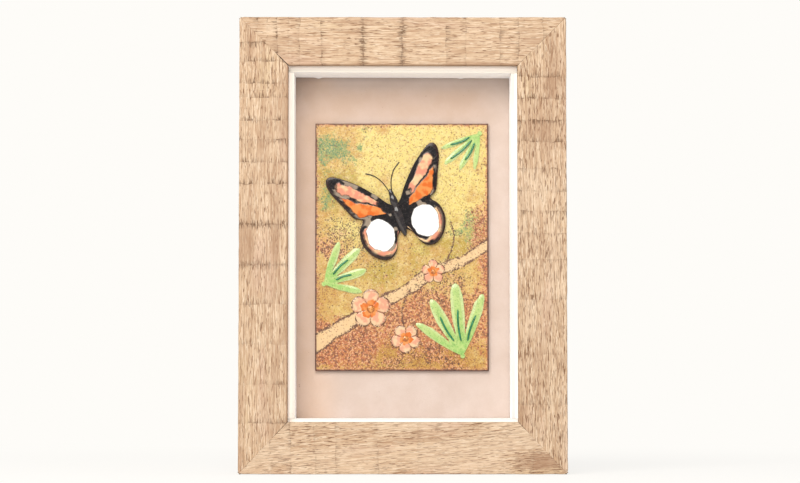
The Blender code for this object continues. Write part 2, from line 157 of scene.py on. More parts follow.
def rounded_section(corners, radii, spacings):
    """A closed section from its corners: straight stretches and circular corners, as points.

    Gives the points and their outward directions; spacings say how finely each stretch that
    leaves a corner is divided. The corners run anticlockwise as seen with x right and y up.
    """
    corners = np.array(corners, float)
    points, normals, stretch = [], [], []
    count = len(corners)
    for k in range(count):
        here, before, after = corners[k], corners[k - 1], corners[(k + 1) % count]
        into = (here - before) / np.linalg.norm(here - before)
        out = (after - here) / np.linalg.norm(after - here)
        n_in, n_out = np.array([into[1], -into[0]]), np.array([out[1], -out[0]])
        radius = radii[k]
        if radius > 0:
            centre = here - (n_in + n_out) * radius
            for t in np.linspace(0, 1, CORNER_POINTS):
                n = n_in * (1 - t) + n_out * t
                n = n / np.linalg.norm(n)
                points.append(centre + n * radius)
                normals.append(n)
                stretch.append(k)
        else:
            points.append(here)
            normals.append((n_in + n_out) / np.linalg.norm(n_in + n_out))
            stretch.append(k)
        begin = points[-1]
        stop = after - out * radii[(k + 1) % count]
        length = np.linalg.norm(stop - begin)
        steps = max(1, int(round(length / spacings[k])))
        for i in range(1, steps):
            points.append(begin + (stop - begin) * i / steps)
            normals.append(n_out)
            stretch.append(k)
    return np.array(points), np.array(normals), np.array(stretch)


# Shader helpers
def linear(red, green, blue):
    """A colour given as 0 to 255 on a screen, as Blender's linear numbers."""
    shares = np.array([red, green, blue]) / 255.0
    lin = np.where(shares <= 0.04045, shares / 12.92, ((shares + 0.055) / 1.055) ** 2.4)
    return (*(float(v) for v in lin), 1.0)


def shown(red, green, blue):
    """The linear colour of a surface that shows as this one under the studio's full light."""
    return (*(v / FULL_LIGHT for v in linear(red, green, blue)[:3]), 1.0)


def feed(tree, socket, value):
    """Link another socket into this one, or set it to a constant."""
    if isinstance(value, bpy.types.NodeSocket):
        tree.links.new(value, socket)
    else:
        socket.default_value = value


def calc(tree, operation, a, b=0.0, clamp=False):
    """One sum on numbers."""
    node = tree.nodes.new("ShaderNodeMath")
    node.operation, node.use_clamp = operation, clamp
    feed(tree, node.inputs[0], a)
    feed(tree, node.inputs[1], b)
    return node.outputs[0]


def times(tree, a, b, clamp=False):
    """One number times another."""
    return calc(tree, "MULTIPLY", a, b, clamp)


def between(tree, value, low, high, to_low=0.0, to_high=1.0):
    """A smooth step on a number."""
    node = tree.nodes.new("ShaderNodeMapRange")
    node.interpolation_type = "SMOOTHSTEP"
    feed(tree, node.inputs["Value"], value)
    for socket, number in zip(("From Min", "From Max", "To Min", "To Max"),
                              (low, high, to_low, to_high)):
        feed(tree, node.inputs[socket], number)
    return node.outputs[0]


def blend(tree, share, a, b):
    """A colour between two others by a share from 0 to 1."""
    node = tree.nodes.new("ShaderNodeMix")
    node.data_type = "RGBA"
    feed(tree, node.inputs["Factor"], share)
    feed(tree, node.inputs[6], a)
    feed(tree, node.inputs[7], b)
    return node.outputs[2]


def tint(tree, colour, mask, strength, over):
    """Another colour laid over this one by a mask times a strength."""
    return blend(tree, times(tree, mask, strength, True), colour, over)


def coats(tree, colour, *layers):
    """Coats of colour in turn: mask, where the coat begins and is full, strength, and colour."""
    for mask, begins, full, strength, over in layers:
        colour = blend(tree, between(tree, mask, begins, full, 0.0, strength), colour, over)
    return colour


def noise(tree, vector, scale=1.0, detail=2.0, roughness=0.5):
    """Soft noise from 0 to 1 on the given coordinates."""
    node = tree.nodes.new("ShaderNodeTexNoise")
    feed(tree, node.inputs["Vector"], vector)
    feed(tree, node.inputs["Scale"], scale)
    feed(tree, node.inputs["Detail"], detail)
    feed(tree, node.inputs["Roughness"], roughness)
    return node.outputs[0]


def streaks(tree, vector, scale, detail=2.0, roughness=0.5):
    """Soft noise with its own scale, in parts per metre, along each of the three directions."""
    node = tree.nodes.new("ShaderNodeVectorMath")
    node.operation = "MULTIPLY"
    feed(tree, node.inputs[0], vector)
    feed(tree, node.inputs[1], scale)
    return noise(tree, node.outputs[0], 1.0, detail, roughness)


def attribute(tree, name, wide=False):
    """A number or vector kept on the mesh."""
    node = tree.nodes.new("ShaderNodeAttribute")
    node.attribute_name = name
    return node.outputs["Vector" if wide else "Fac"]


def object_place(tree):
    """Object coordinates, in metres."""
    return tree.nodes.new("ShaderNodeTexCoord").outputs["Object"]


def bump(tree, height, distance, strength):
    """A normal from a height between 0 and 1 that stands for the distance in metres."""
    node = tree.nodes.new("ShaderNodeBump")
    feed(tree, node.inputs["Height"], height)
    feed(tree, node.inputs["Distance"], distance)
    feed(tree, node.inputs["Strength"], strength)
    return node.outputs[0]


def new_material(name, roughness, metallic=0.0, **constants):
    """A material with one Principled shader; constants go straight on its own sockets."""
    material = bpy.data.materials.new(name)
    material.use_nodes = True
    shader = material.node_tree.nodes["Principled BSDF"]
    shader.inputs["Roughness"].default_value = roughness
    shader.inputs["Metallic"].default_value = metallic
    for socket, value in constants.items():
        shader.inputs[socket.replace("_", " ")].default_value = value
    return material, material.node_tree


def finished(material, colour, normal, roughness=None):
    """The material with its colour, normal and, where it varies, roughness linked in."""
    tree = material.node_tree
    inputs = tree.nodes["Principled BSDF"].inputs
    for socket, value in (("Base Color", colour), ("Normal", normal), ("Roughness", roughness)):
        if value is not None:
            tree.links.new(value, inputs[socket])
    return material


def new_group(name, inputs, outputs):
    """A shader node group: its tree, what its inputs give, and its outputs, all numbers."""
    tree = bpy.data.node_groups.new(name, "ShaderNodeTree")
    for socket in inputs:
        kind = "NodeSocketVector" if socket == "Place" else "NodeSocketFloat"
        tree.interface.new_socket(socket, in_out="INPUT", socket_type=kind)
    for socket in outputs:
        tree.interface.new_socket(socket, in_out="OUTPUT", socket_type="NodeSocketFloat")
    return tree, tree.nodes.new("NodeGroupInput").outputs, tree.nodes.new("NodeGroupOutput").inputs


def place_group(tree, group, **values):
    """Put a node group in a material and feed its inputs by name."""
    node = tree.nodes.new("ShaderNodeGroup")
    node.node_tree = group
    for socket, value in values.items():
        feed(tree, node.inputs[socket.replace("_", " ")], value)
    return node.outputs


def sifted_grain_group():
    """Sifted enamel: cells of one grain each, with three random numbers and a grain height."""
    tree, given, out = new_group("sifted_grains", ("Place", "Grains per metre"),
                                 ("First", "Second", "Third", "Height"))
    cells = tree.nodes.new("ShaderNodeTexVoronoi")
    feed(tree, cells.inputs["Vector"], given["Place"])
    feed(tree, cells.inputs["Scale"], given["Grains per metre"])
    parts = tree.nodes.new("ShaderNodeSeparateColor")
    feed(tree, parts.inputs[0], cells.outputs["Color"])
    for socket, source in zip(("First", "Second", "Third"), parts.outputs):
        feed(tree, out[socket], source)
    feed(tree, out["Height"], calc(tree, "SUBTRACT", 1.0, cells.outputs["Distance"]))
    return tree


def paper_fibre_group():
    """Paper or card: soft clouds, a fine tooth, and sparse short fibres as a mask."""
    tree, given, out = new_group("paper_fibre", ("Place", "Fleck share"),
                                 ("Cloud", "Tooth", "Flecks"))
    feed(tree, out["Cloud"], noise(tree, given["Place"], 90.0, 3.0, 0.6))
    feed(tree, out["Tooth"], noise(tree, given["Place"], 2600.0, 3.0, 0.7))
    spots = streaks(tree, given["Place"], (900.0, 900.0, 1500.0), 1.0, 0.4)
    high = calc(tree, "SUBTRACT", 0.80, times(tree, given["Fleck share"], 0.5))
    feed(tree, out["Flecks"], between(tree, spots, high, calc(tree, "ADD", high, 0.05)))
    return tree


def metal_wear_group():
    """Plated metal: fine rolling lines, clouds of dulling and sparse dark spots."""
    tree, given, out = new_group("plated_wear", ("Place",), ("Lines", "Cloud", "Spots"))
    feed(tree, out["Lines"], streaks(tree, given["Place"], (60.0, 4000.0, 4000.0)))
    feed(tree, out["Cloud"], noise(tree, given["Place"], 260.0, 3.0, 0.6))
    spots = noise(tree, given["Place"], 1500.0, 2.0, 0.6)
    feed(tree, out["Spots"], between(tree, spots, 0.66, 0.74))
    return tree


# Materials
SPECKS = ((-42.2 * MM, 35.9 * MM), (-42.1 * MM, 35.2 * MM))     # dark specks in the mount's paper


def oak_material():
    """Pale rough-sawn oak. Grain runs along the rail in the mesh's own grain coordinates.

    off tells how far the nearest saw mark is: torn teeth of random length leave it on one side,
    and a thin broken line follows it.
    """
    material, tree = new_material("oak", 0.78, Specular_IOR_Level=0.25)
    grain = attribute(tree, "grain", wide=True)
    torn, ridge, tone, fleck, off, bite = (
        attribute(tree, n) for n in ("torn", "ridge", "tone", "fleck", "off", "bite"))
    fine = streaks(tree, grain, (190.0, 3500.0, 3500.0), 3.0, 0.66)
    broad = streaks(tree, grain, (45.0, 620.0, 620.0))
    zone = streaks(tree, grain, (24.0, 110.0, 110.0))
    bright = streaks(tree, grain, (300.0, 2700.0, 3000.0), 1.0, 0.4)
    long_lines = streaks(tree, grain, (90.0, 3500.0, 3500.0), 1.0, 0.4)
    pores = streaks(tree, grain, (330.0, 3500.0, 3500.0), 1.0)
    gouges = streaks(tree, grain, (170.0, 1500.0, 1500.0), 0.0)
    mixed = calc(tree, "ADD", times(tree, fine, 0.72), times(tree, ridge, 0.28))
    colour = blend(tree, between(tree, mixed, 0.385, 0.61), shown(209, 173, 140),
                   shown(247, 219, 187))
    colour = coats(
        tree, colour,
        (broad, 0.42, 0.68, 0.40, shown(220, 186, 151)),
        (zone, 0.52, 0.72, 0.5, shown(228, 192, 168)),
        (zone, 0.44, 0.28, 0.45, shown(246, 220, 178)),
        (bright, 0.57, 0.68, 0.65, shown(254, 232, 204)),
        (long_lines, 0.56, 0.64, 0.65, shown(180, 142, 108)),
        (calc(tree, "ADD", pores, times(tree, fleck, 0.055)), 0.650, 0.705, 0.9,
         shown(132, 95, 68)),
        (calc(tree, "ADD", gouges, times(tree, fleck, 0.035)), 0.765, 0.825, 0.85,
         shown(144, 106, 76)))
    colour = tint(tree, colour, tone, 0.8, shown(186, 148, 118))
    colour = tint(tree, colour, tone, -0.8, shown(252, 228, 200))
    streak = streaks(tree, grain, (110.0, 3300.0, 3300.0), 1.0)
    spread = streaks(tree, grain, (30.0, 2400.0, 2400.0), 0.0)
    length = between(tree, spread, 0.35, 0.68, 0.5 * MM, 2.6 * MM)
    tooth = times(tree, between(tree, streak, 0.50, 0.58),
                  between(tree, calc(tree, "DIVIDE", off, length), 1.0, 0.5))
    tooth = times(tree, tooth, between(tree, off, -0.22 * MM, 0.0))
    line = times(tree, between(tree, calc(tree, "ABSOLUTE", off), 0.26 * MM, 0.06 * MM),
                 between(tree, streak, 0.38, 0.50, 0.0, 0.6))
    cut = times(tree, calc(tree, "MAXIMUM", tooth, line), bite, True)
    colour = tint(tree, colour, cut, 0.80, shown(114, 80, 54))
    colour = blend(tree, torn, colour, shown(98, 66, 44))
    height = calc(tree, "SUBTRACT", fine, times(tree, pores, 0.6))
    height = calc(tree, "SUBTRACT", height, cut)
    return finished(material, colour, bump(tree, height, 0.2 * MM, 0.7))


def card_material(group):
    """White painted card slips with a faint tooth and cream fronts. Painted light makes the walls,
    and the band of front next to the lip where the lip's shadow falls, a brighter white than the
    fronts.
    """
    material, tree = new_material("white_slip", 0.62, Specular_IOR_Level=0.3, Sheen_Weight=0.4)
    fibre = place_group(tree, group, Place=object_place(tree), Fleck_share=0.06)
    warm, rim, front = (attribute(tree, n) for n in ("warm", "rim", "front"))
    # The walls' white is brighter than the fronts' cream: painted light against the shade the
    # walls stand in.
    colour = blend(tree, between(tree, fibre["Cloud"], 0.35, 0.7), (0.95, 0.945, 0.945, 1.0),
                   (0.975, 0.97, 0.97, 1.0))
    # A brighter white on the band of front next to the lip: painted light against the lip's
    # shadow.
    lip_shadow_lift = blend(tree, warm, (0.96, 0.94, 0.92, 1.0), (0.93, 0.84, 0.76, 1.0))
    creamy = blend(tree, warm, (0.70, 0.69, 0.68, 1.0), (0.67, 0.635, 0.565, 1.0))
    creamy = coats(tree, creamy, (fibre["Cloud"], 0.3, 0.7, 0.4, (0.68, 0.61, 0.56, 1.0)))
    colour = blend(tree, front, blend(tree, rim, colour, lip_shadow_lift), creamy)
    colour = tint(tree, colour, fibre["Flecks"], 0.35, shown(215, 202, 186))
    return finished(material, colour, bump(tree, fibre["Tooth"], 0.06 * MM, 0.5))


def mount_material(group):
    """The mount's paper: pinkish, clouded and specked. Painted shade darkens it along the top, in
    the top left corner and under the top slip, and painted warm bounce light warms it along the
    left.
    """
    material, tree = new_material("mount_paper", 0.92, Specular_IOR_Level=0.2)
    place = object_place(tree)
    fibre = place_group(tree, group, Place=place, Fleck_share=0.1)
    split = tree.nodes.new("ShaderNodeSeparateXYZ")
    feed(tree, split.inputs[0], place)
    across, up = split.outputs["X"], split.outputs["Z"]
    # Painted light and shade: the paper is warmer by the left, as painted warm bounce light from
    # the oak, and darker along the top, as painted shade that fades out to the right.
    warm_bounce_left = between(tree, across, -0.022, -0.040)
    shade_by_top = times(tree, between(tree, up, 0.136, 0.150), between(tree, up, 0.1608, 0.1535))
    shade_by_top = times(tree, shade_by_top, between(tree, across, 0.046, 0.024))
    # Painted shade: darker in the top left corner, and in a thin line just under the top slip that
    # is stronger to the left.
    corner_shade = times(tree, between(tree, across, -0.030, -0.044), between(tree, up, 0.148, 0.163))
    shadow_under_slip = times(tree, between(tree, up, 0.1592, 0.1614, 0.0, 0.30),
                   between(tree, across, 0.046, 0.020, 0.3, 1.0))
    cloud = between(tree, fibre["Cloud"], 0.3, 0.7)
    pink = blend(tree, cloud, shown(229, 208, 195), shown(237, 218, 207))
    # side is the paper under painted warm bounce light, top the paper in painted shade.
    side = blend(tree, cloud, shown(240, 208, 184), shown(246, 216, 195))
    top = blend(tree, cloud, shown(228, 199, 178), shown(234, 207, 190))
    colour = blend(tree, shade_by_top, blend(tree, warm_bounce_left, pink, side), top)
    colour = tint(tree, colour, corner_shade, 0.6, shown(150, 132, 124))
    colour = blend(tree, shadow_under_slip, colour, shown(150, 134, 128))
    colour = coats(tree, colour, (fibre["Tooth"], 0.35, 0.75, 0.22, shown(218, 192, 178)))
    colour = tint(tree, colour, fibre["Flecks"], 0.5, shown(172, 146, 130))
    for x, z in SPECKS:
        away = calc(tree, "ADD", calc(tree, "POWER", calc(tree, "SUBTRACT", across, x), 2.0),
                    calc(tree, "POWER", calc(tree, "SUBTRACT", up, z), 2.0))
        colour = coats(tree, colour, (away, 1.0e-7, 0.3e-7, 0.5, shown(146, 110, 96)))
    return finished(material, colour, bump(tree, fibre["Tooth"], 0.1 * MM, 0.6))


def fibreboard_material(group):
    """Brown pressed fibreboard for the back, with pale and dark fibres."""
    material, tree = new_material("fibreboard", 0.8, Specular_IOR_Level=0.25)
    place = object_place(tree)
    fibre = place_group(tree, group, Place=place, Fleck_share=0.3)
    strands = streaks(tree, place, (700.0, 700.0, 2600.0), 3.0, 0.65)
    colour = blend(tree, between(tree, strands, 0.35, 0.65), linear(112, 76, 50),
                   linear(158, 114, 78))
    colour = coats(tree, colour, (fibre["Cloud"], 0.3, 0.7, 0.4, linear(128, 92, 64)))
    colour = tint(tree, colour, fibre["Flecks"], 0.6, linear(196, 156, 116))
    return finished(material, colour, bump(tree, strands, 0.15 * MM, 0.7))


def plated_material(name, group, bright, dull, stain, roughness):
    """Thin plated metal, dulled in clouds and stained with age."""
    material, tree = new_material(name, roughness, 1.0)
    wear = place_group(tree, group, Place=object_place(tree))
    colour = blend(tree, between(tree, wear["Cloud"], 0.35, 0.7), bright, dull)
    colour = tint(tree, colour, wear["Spots"], 0.7, stain)
    return finished(material, colour, bump(tree, wear["Lines"], 0.04 * MM, 0.5),
                    between(tree, wear["Cloud"], 0.3, 0.75, roughness, roughness + 0.2))


def ground_material(grains):
    """The plate's sifted ground: grains of each colour scattered by the mesh's zone fields."""
    material, tree = new_material("enamel_ground", 0.3, Specular_IOR_Level=0.45)
    place = object_place(tree)
    coarse = place_group(tree, grains, Place=place, Grains_per_metre=1500.0)
    small = place_group(tree, grains, Place=place, Grains_per_metre=2500.0)
    lemon, olive, green, rust, amber, pepper, twig, line, scale = (attribute(tree, n) for n in (
        "lemon", "olive", "green", "rust", "amber", "pepper", "twig", "line", "scale"))
    cloud = noise(tree, place, 420.0, 3.0, 0.6)
    wash = noise(tree, place, 170.0)

    def sifted(colour, *kinds):
        """Kinds of grain in turn: share of the cells, their random number, strength, colour."""
        for share, random, strength, grain in kinds:
            colour = coats(tree, colour, (calc(tree, "SUBTRACT", share, random), -0.04, 0.04,
                                          strength, grain))
        return colour

    colour = blend(tree, between(tree, wash, 0.35, 0.65), shown(228, 192, 110),
                   shown(214, 168, 86))
    colour = blend(tree, olive, colour,
                   blend(tree, wash, shown(186, 166, 58), shown(206, 168, 70)))
    colour = blend(tree, lemon, colour,
                   blend(tree, wash, shown(250, 226, 128), shown(236, 214, 130)))
    colour = coats(tree, colour, (cloud, 0.46, 0.74, 0.40, shown(252, 236, 176)))
    colour = sifted(colour, (0.16, small["First"], 0.35, shown(255, 242, 190)),
                    (0.18, small["Second"], 0.50, shown(176, 126, 54)))
    colour = tint(tree, colour, green, 0.45, shown(170, 178, 96))
    colour = sifted(colour,
                    (times(tree, green, 0.75), coarse["Second"], 0.65, shown(132, 164, 100)),
                    (times(tree, green, 0.46), small["Third"], 0.75, shown(70, 134, 94)))
    colour = tint(tree, colour, amber, 0.65, shown(206, 152, 62))
    colour = sifted(colour, (times(tree, amber, 0.42), small["First"], 0.75, shown(158, 98, 44)))
    colour = tint(tree, colour, rust, 0.55, shown(232, 158, 100))
    colour = sifted(colour,
                    (times(tree, rust, 0.40), small["Second"], 0.65, shown(250, 192, 152)),
                    (times(tree, rust, 0.50), small["Third"], 0.75, shown(188, 98, 60)),
                    (times(tree, rust, 0.30), coarse["First"], 0.72, shown(122, 66, 46)))
    bark = sifted(blend(tree, cloud, shown(252, 218, 170), shown(240, 200, 142)),
                  (0.07, small["Second"], 0.7, shown(190, 130, 92)))
    colour = sifted(blend(tree, twig, colour, bark),
                    (times(tree, pepper, 0.30), small["Third"], 0.8, shown(84, 64, 44)),
                    (line, small["Third"], 0.9, shown(86, 50, 38)),
                    (line, coarse["First"], 0.5, shown(130, 84, 60)))
    burnt = blend(tree, coarse["First"], shown(84, 52, 42), shown(142, 92, 72))
    return finished(material, blend(tree, scale, colour, burnt),
                    bump(tree, small["Height"], 0.06 * MM, 0.5),
                    between(tree, scale, 0.0, 1.0, 0.28, 0.6))


def wing_material(grains):
    """The butterfly: glossy black with taupe clouds, white and orange cells and a burnt rim."""
    material, tree = new_material("enamel_black", 0.2, Specular_IOR_Level=0.28)
    place = object_place(tree)
    small = place_group(tree, grains, Place=place, Grains_per_metre=3300.0)
    cloud = noise(tree, place, 700.0, 3.0, 0.6)
    wash = noise(tree, place, 330.0)
    colour = coats(tree, shown(16, 10, 12), (small["First"], 0.86, 0.94, 0.5, shown(84, 68, 64)))
    cells = (("taupe", blend(tree, cloud, shown(138, 122, 108), shown(186, 168, 146))),
             ("orange", blend(tree, between(tree, wash, 0.40, 0.60), shown(236, 116, 40),
                              shown(247, 156, 80))),
             ("peach", blend(tree, between(tree, wash, 0.38, 0.60), shown(250, 214, 164),
                             shown(240, 158, 128))),
             ("white", (0.93, 0.92, 0.90, 1.0)))
    for field, glass in cells:
        colour = blend(tree, attribute(tree, field), colour, glass)
    burnt = between(tree, small["Second"], 0.10, 0.45)
    colour = tint(tree, colour, attribute(tree, "rim"), burnt, shown(76, 50, 42))
    return finished(material, colour, bump(tree, cloud, 0.05 * MM, 0.4))


def leaf_material(grains):
    """Leaf sprays: opaque green glass, paler at the rim by a painted highlight."""
    material, tree = new_material("enamel_leaf", 0.22, Specular_IOR_Level=0.5)
    place = object_place(tree)
    small = place_group(tree, grains, Place=place, Grains_per_metre=3300.0)
    cloud = noise(tree, place, 500.0, 3.0, 0.6)
    colour = blend(tree, between(tree, cloud, 0.3, 0.7), shown(160, 212, 110),
                   shown(204, 230, 140))
    colour = coats(tree, colour, (attribute(tree, "along"), 0.3, 0.95, 0.5, shown(214, 230, 150)))
    # Painted highlight: a paler rim, standing in for light caught along the blades' edges.
    colour = tint(tree, colour, attribute(tree, "rim"), 0.8, shown(224, 240, 172))
    colour = coats(tree, colour, (small["First"], 0.84, 0.9, 0.5, shown(110, 150, 84)))
    return finished(material, colour, bump(tree, cloud, 0.05 * MM, 0.4))


def blossom_material(grains):
    """Blossoms: cream and pink petals, orange hearts with ragged edges and a flecked outline."""
    material, tree = new_material("enamel_blossom", 0.22, Specular_IOR_Level=0.4)
    place = object_place(tree)
    small = place_group(tree, grains, Place=place, Grains_per_metre=2600.0)
    rim, along, fold = (attribute(tree, n) for n in ("rim", "along", "fold"))
    wash = noise(tree, place, 420.0)
    ragged = calc(tree, "ADD", along, times(tree, calc(tree, "SUBTRACT", wash, 0.5), 0.7))
    colour = blend(tree, between(tree, wash, 0.42, 0.60), shown(252, 214, 170),
                   shown(244, 176, 142))
    heart = blend(tree, between(tree, wash, 0.40, 0.60), shown(238, 124, 46), shown(248, 160, 84))
    colour = blend(tree, between(tree, ragged, 0.50, 0.44), colour, heart)
    colour = tint(tree, colour, fold, between(tree, small["Second"], 0.1, 0.4), shown(150, 84, 56))
    colour = tint(tree, colour, rim, between(tree, small["First"], 0.25, 0.5), shown(96, 58, 44))
    return finished(material, colour, bump(tree, small["Height"], 0.04 * MM, 0.3))


def glass_material(name, dark, light):
    """Glass thread or bead: strong even colour with soft streaks, very glossy."""
    material, tree = new_material(name, 0.12, Specular_IOR_Level=0.6)
    cloud = noise(tree, object_place(tree), 1200.0)
    return finished(material, blend(tree, between(tree, cloud, 0.35, 0.7), dark, light),
                    bump(tree, cloud, 0.04 * MM, 0.4))


# Oak rails

# Saw marks along each rail: place from the middle (mm), strength, and slant across the face
TOP_MARKS = ((-58.6, 0.7, 0.0), (-50.6, 0.8, 0.02), (-41.7, 0.6, 0.0), (-32.9, 0.65, 0.02),
             (-16.0, 1.0, 0.02), (-0.3, 1.0, 0.0), (17.4, 0.55, 0.01), (25.5, 0.5, 0.0),
             (39.2, 0.55, 0.01), (46.8, 0.55, 0.0), (56.5, 0.35, 0.0))
BOTTOM_MARKS = ((-53.1, 0.4, -0.04), (-44.7, 0.5, -0.03), (-35.1, 0.35, -0.04),
                (-26.7, 0.45, -0.03), (-10.0, 0.5, -0.03), (6.0, 0.2, 0.0), (30.0, 0.2, 0.0),
                (52.0, 0.25, 0.0))
LEFT_MARKS = ((81.6, 0.8, 0.0), (73.9, 0.85, 0.0), (64.9, 0.75, 0.0), (59.2, 0.7, 0.0),
              (50.0, 0.94, 0.0), (42.4, 0.9, 0.0), (33.1, 0.9, 0.0), (24.4, 0.9, 0.0),
              (8.0, 1.0, 0.0), (-8.3, 1.0, 0.0), (-24.0, 0.35, 0.0), (-40.0, 0.3, 0.0),
              (-56.0, 0.35, 0.0), (-71.5, 0.6, 0.0))
RIGHT_MARKS = ((67.7, 0.6, 0.02), (58.8, 0.7, 0.02), (50.0, 0.7, 0.02), (41.5, 0.7, 0.02),
               (30.7, 0.7, 0.02), (21.4, 0.6, 0.02), (13.4, 0.55, 0.02), (4.6, 0.4, 0.0),
               (-6.0, 0.3, 0.0), (-22.0, 0.25, 0.0), (-44.0, 0.3, 0.0), (-64.0, 0.3, 0.0))
DEEP_MARK = 0.95         # a mark stronger than this is cut across the whole face
LEVEL_DEPTH = 0.20 * MM
DASH_DEPTH = 0.16 * MM
TEAR_DEPTH = 0.12 * MM
GRAIN_DEPTH = 0.12 * MM
SIDE_WANDER = 0.32 * MM
CORNER_WEAR, CORNER_REACH = 0.65 * MM, 2.2 * MM
# The section's corners in turn: outer back, outer front, inner front, and the rebate's three;
# the spacing of points is that of the stretch that leaves each corner
EDGE_ROUNDS = (0.4 * MM, 0.5 * MM, 0.6 * MM, 0, 0, 0)
POINT_SPACING = (0.55 * MM, 0.30 * MM, 0.6 * MM, 1.4 * MM, 4 * MM, 2.5 * MM)
SECTION_STEP = 0.31 * MM
MITRE_SLANT = 1.4        # how much wider a mitre's gap is along the rail than across the gap


def torn_dashes(gap, q, row, seed, size):
    """Short cuts across a saw mark, one to a cell of the face, each with its own draw.

    A cut is a sine across its cell and a Gaussian along the grain; it is shifted, lengthened,
    slanted and deepened by random numbers of its cell.
    """
    cell = np.floor(q / size)
    within = q / size - cell
    shift = (hashed(cell, row, seed) - 0.5) * 2.2 * MM
    length = (0.30 + 0.95 * hashed(cell, row, seed + 1) ** 2) * MM
    lean = (hashed(cell, row, seed + 2) - 0.5) * 2.4 * size * (within - 0.5)
    depth = ease(0.30, 0.85, hashed(cell, row, seed + 3))
    return depth * np.sin(np.pi * within) ** 1.4 * np.exp(-((gap - shift + lean) / length) ** 2)


def rail_relief(s, q, width, marks, seed):
    """How far a rough-sawn face lies back, its burrs and shade, and fields for its colours.

    s runs along the rail and q across its faces. Levels change at each saw mark; a mark is a
    row of short torn dashes; longer torn fibres leave it and fade. off is the way from the
    nearest mark, above 0 on the side where its fibres are torn, and bite is how deep it cut.
    The grain's furrows are the square of one less a ridge noise drawn out along the rail.
    """

    def level_at(row):
        """The level of one stretch between marks: a slow random line across the faces."""
        return layered_noise(q / (9 * MM), np.full_like(q, row), seed, 2)

    def shade_at(row):
        """How dark one stretch between marks is, as a line across the faces."""
        return value_noise(q / (5 * MM), np.full_like(q, row), seed + 60)

    level = LEVEL_DEPTH * level_at(0.5)
    dashes, tear, burr, shade, bite = (np.zeros_like(s) for _ in range(5))
    off = np.full_like(s, 1.0)
    for k, (place, strength, slant) in enumerate(sorted(marks)):
        row = seed * 17 + k
        wobble = 1.1 * MM * (layered_noise(q / (2.6 * MM), row * 1.7, seed + 1, 3) - 0.5)
        gap = s - place * MM - wobble - slant * (q - width / 2)
        rise = level_at(k + 1.5) - level_at(k + 0.5)
        level = level + LEVEL_DEPTH * rise * ease(-0.3 * MM, 0.3 * MM, gap)
        darker = shade_at(k + 1.5) - shade_at(k + 0.5)
        shade = shade + darker * ease(-0.2 * MM, 0.2 * MM, gap)
        least = 0.6 if strength > DEEP_MARK else 0.3
        patchy = least + (1 - least) * ease(0.28, 0.60, value_noise(q / (2.6 * MM), row, seed + 3))
        cuts = np.maximum(torn_dashes(gap, q, row, seed + 40, 0.95 * MM),
                          torn_dashes(gap, q + 0.3 * MM, row, seed + 50, 0.62 * MM))
        line = 0.5 * np.exp(-(gap / (0.24 * MM)) ** 2) * ease(
            0.25, 0.6, value_noise(q / (0.9 * MM), row, seed + 2))
        dashes = np.maximum(dashes, strength ** 3 * patchy * np.maximum(cuts, line))
        burr = np.maximum(burr, strength * np.exp(-(gap / (0.55 * MM)) ** 2))
        side = 1.0 if hashed(row, 0, seed + 44) > 0.5 else -1.0
        nearer = np.abs(gap) < np.abs(off)
        off = np.where(nearer, np.abs(gap) if strength > DEEP_MARK else gap * side, off)
        bite = np.where(nearer, min(1.0, 1.25 * strength) * patchy, bite)
        start = ease(0.46, 0.72, value_noise(q / (0.50 * MM), row + 0.5, seed + 5))
        length = (0.5 + 3.2 * value_noise(q / (0.50 * MM), row + 0.5, seed + 6) ** 2) * MM
        reach = np.clip(gap * side, 0.0, None)
        short = np.clip(-gap * side, 0.0, None) / (0.1 * MM + 1.3 * MM * max(0, strength - 0.7))
        tear = np.maximum(tear, np.minimum(1, 1.5 * strength) * patchy * start
                          * np.exp(-(reach / length) ** 1.5 - short ** 2))
    bend = 0.5 * layered_noise(s / (24 * MM), q / (8 * MM), seed + 7, 2)
    ridge = layered_noise(s / (8 * MM), q / (0.38 * MM) + bend * 5, seed + 8, 3)
    deep = DASH_DEPTH * dashes + TEAR_DEPTH * tear + GRAIN_DEPTH * (1 - ridge) ** 2 + level
    shade = shade + shade_at(0.5)
    torn = np.clip(0.42 * dashes + 0.16 * tear, 0, 0.92)
    return deep, burr, shade, {"torn": torn, "ridge": ridge, "off": off, "bite": bite}


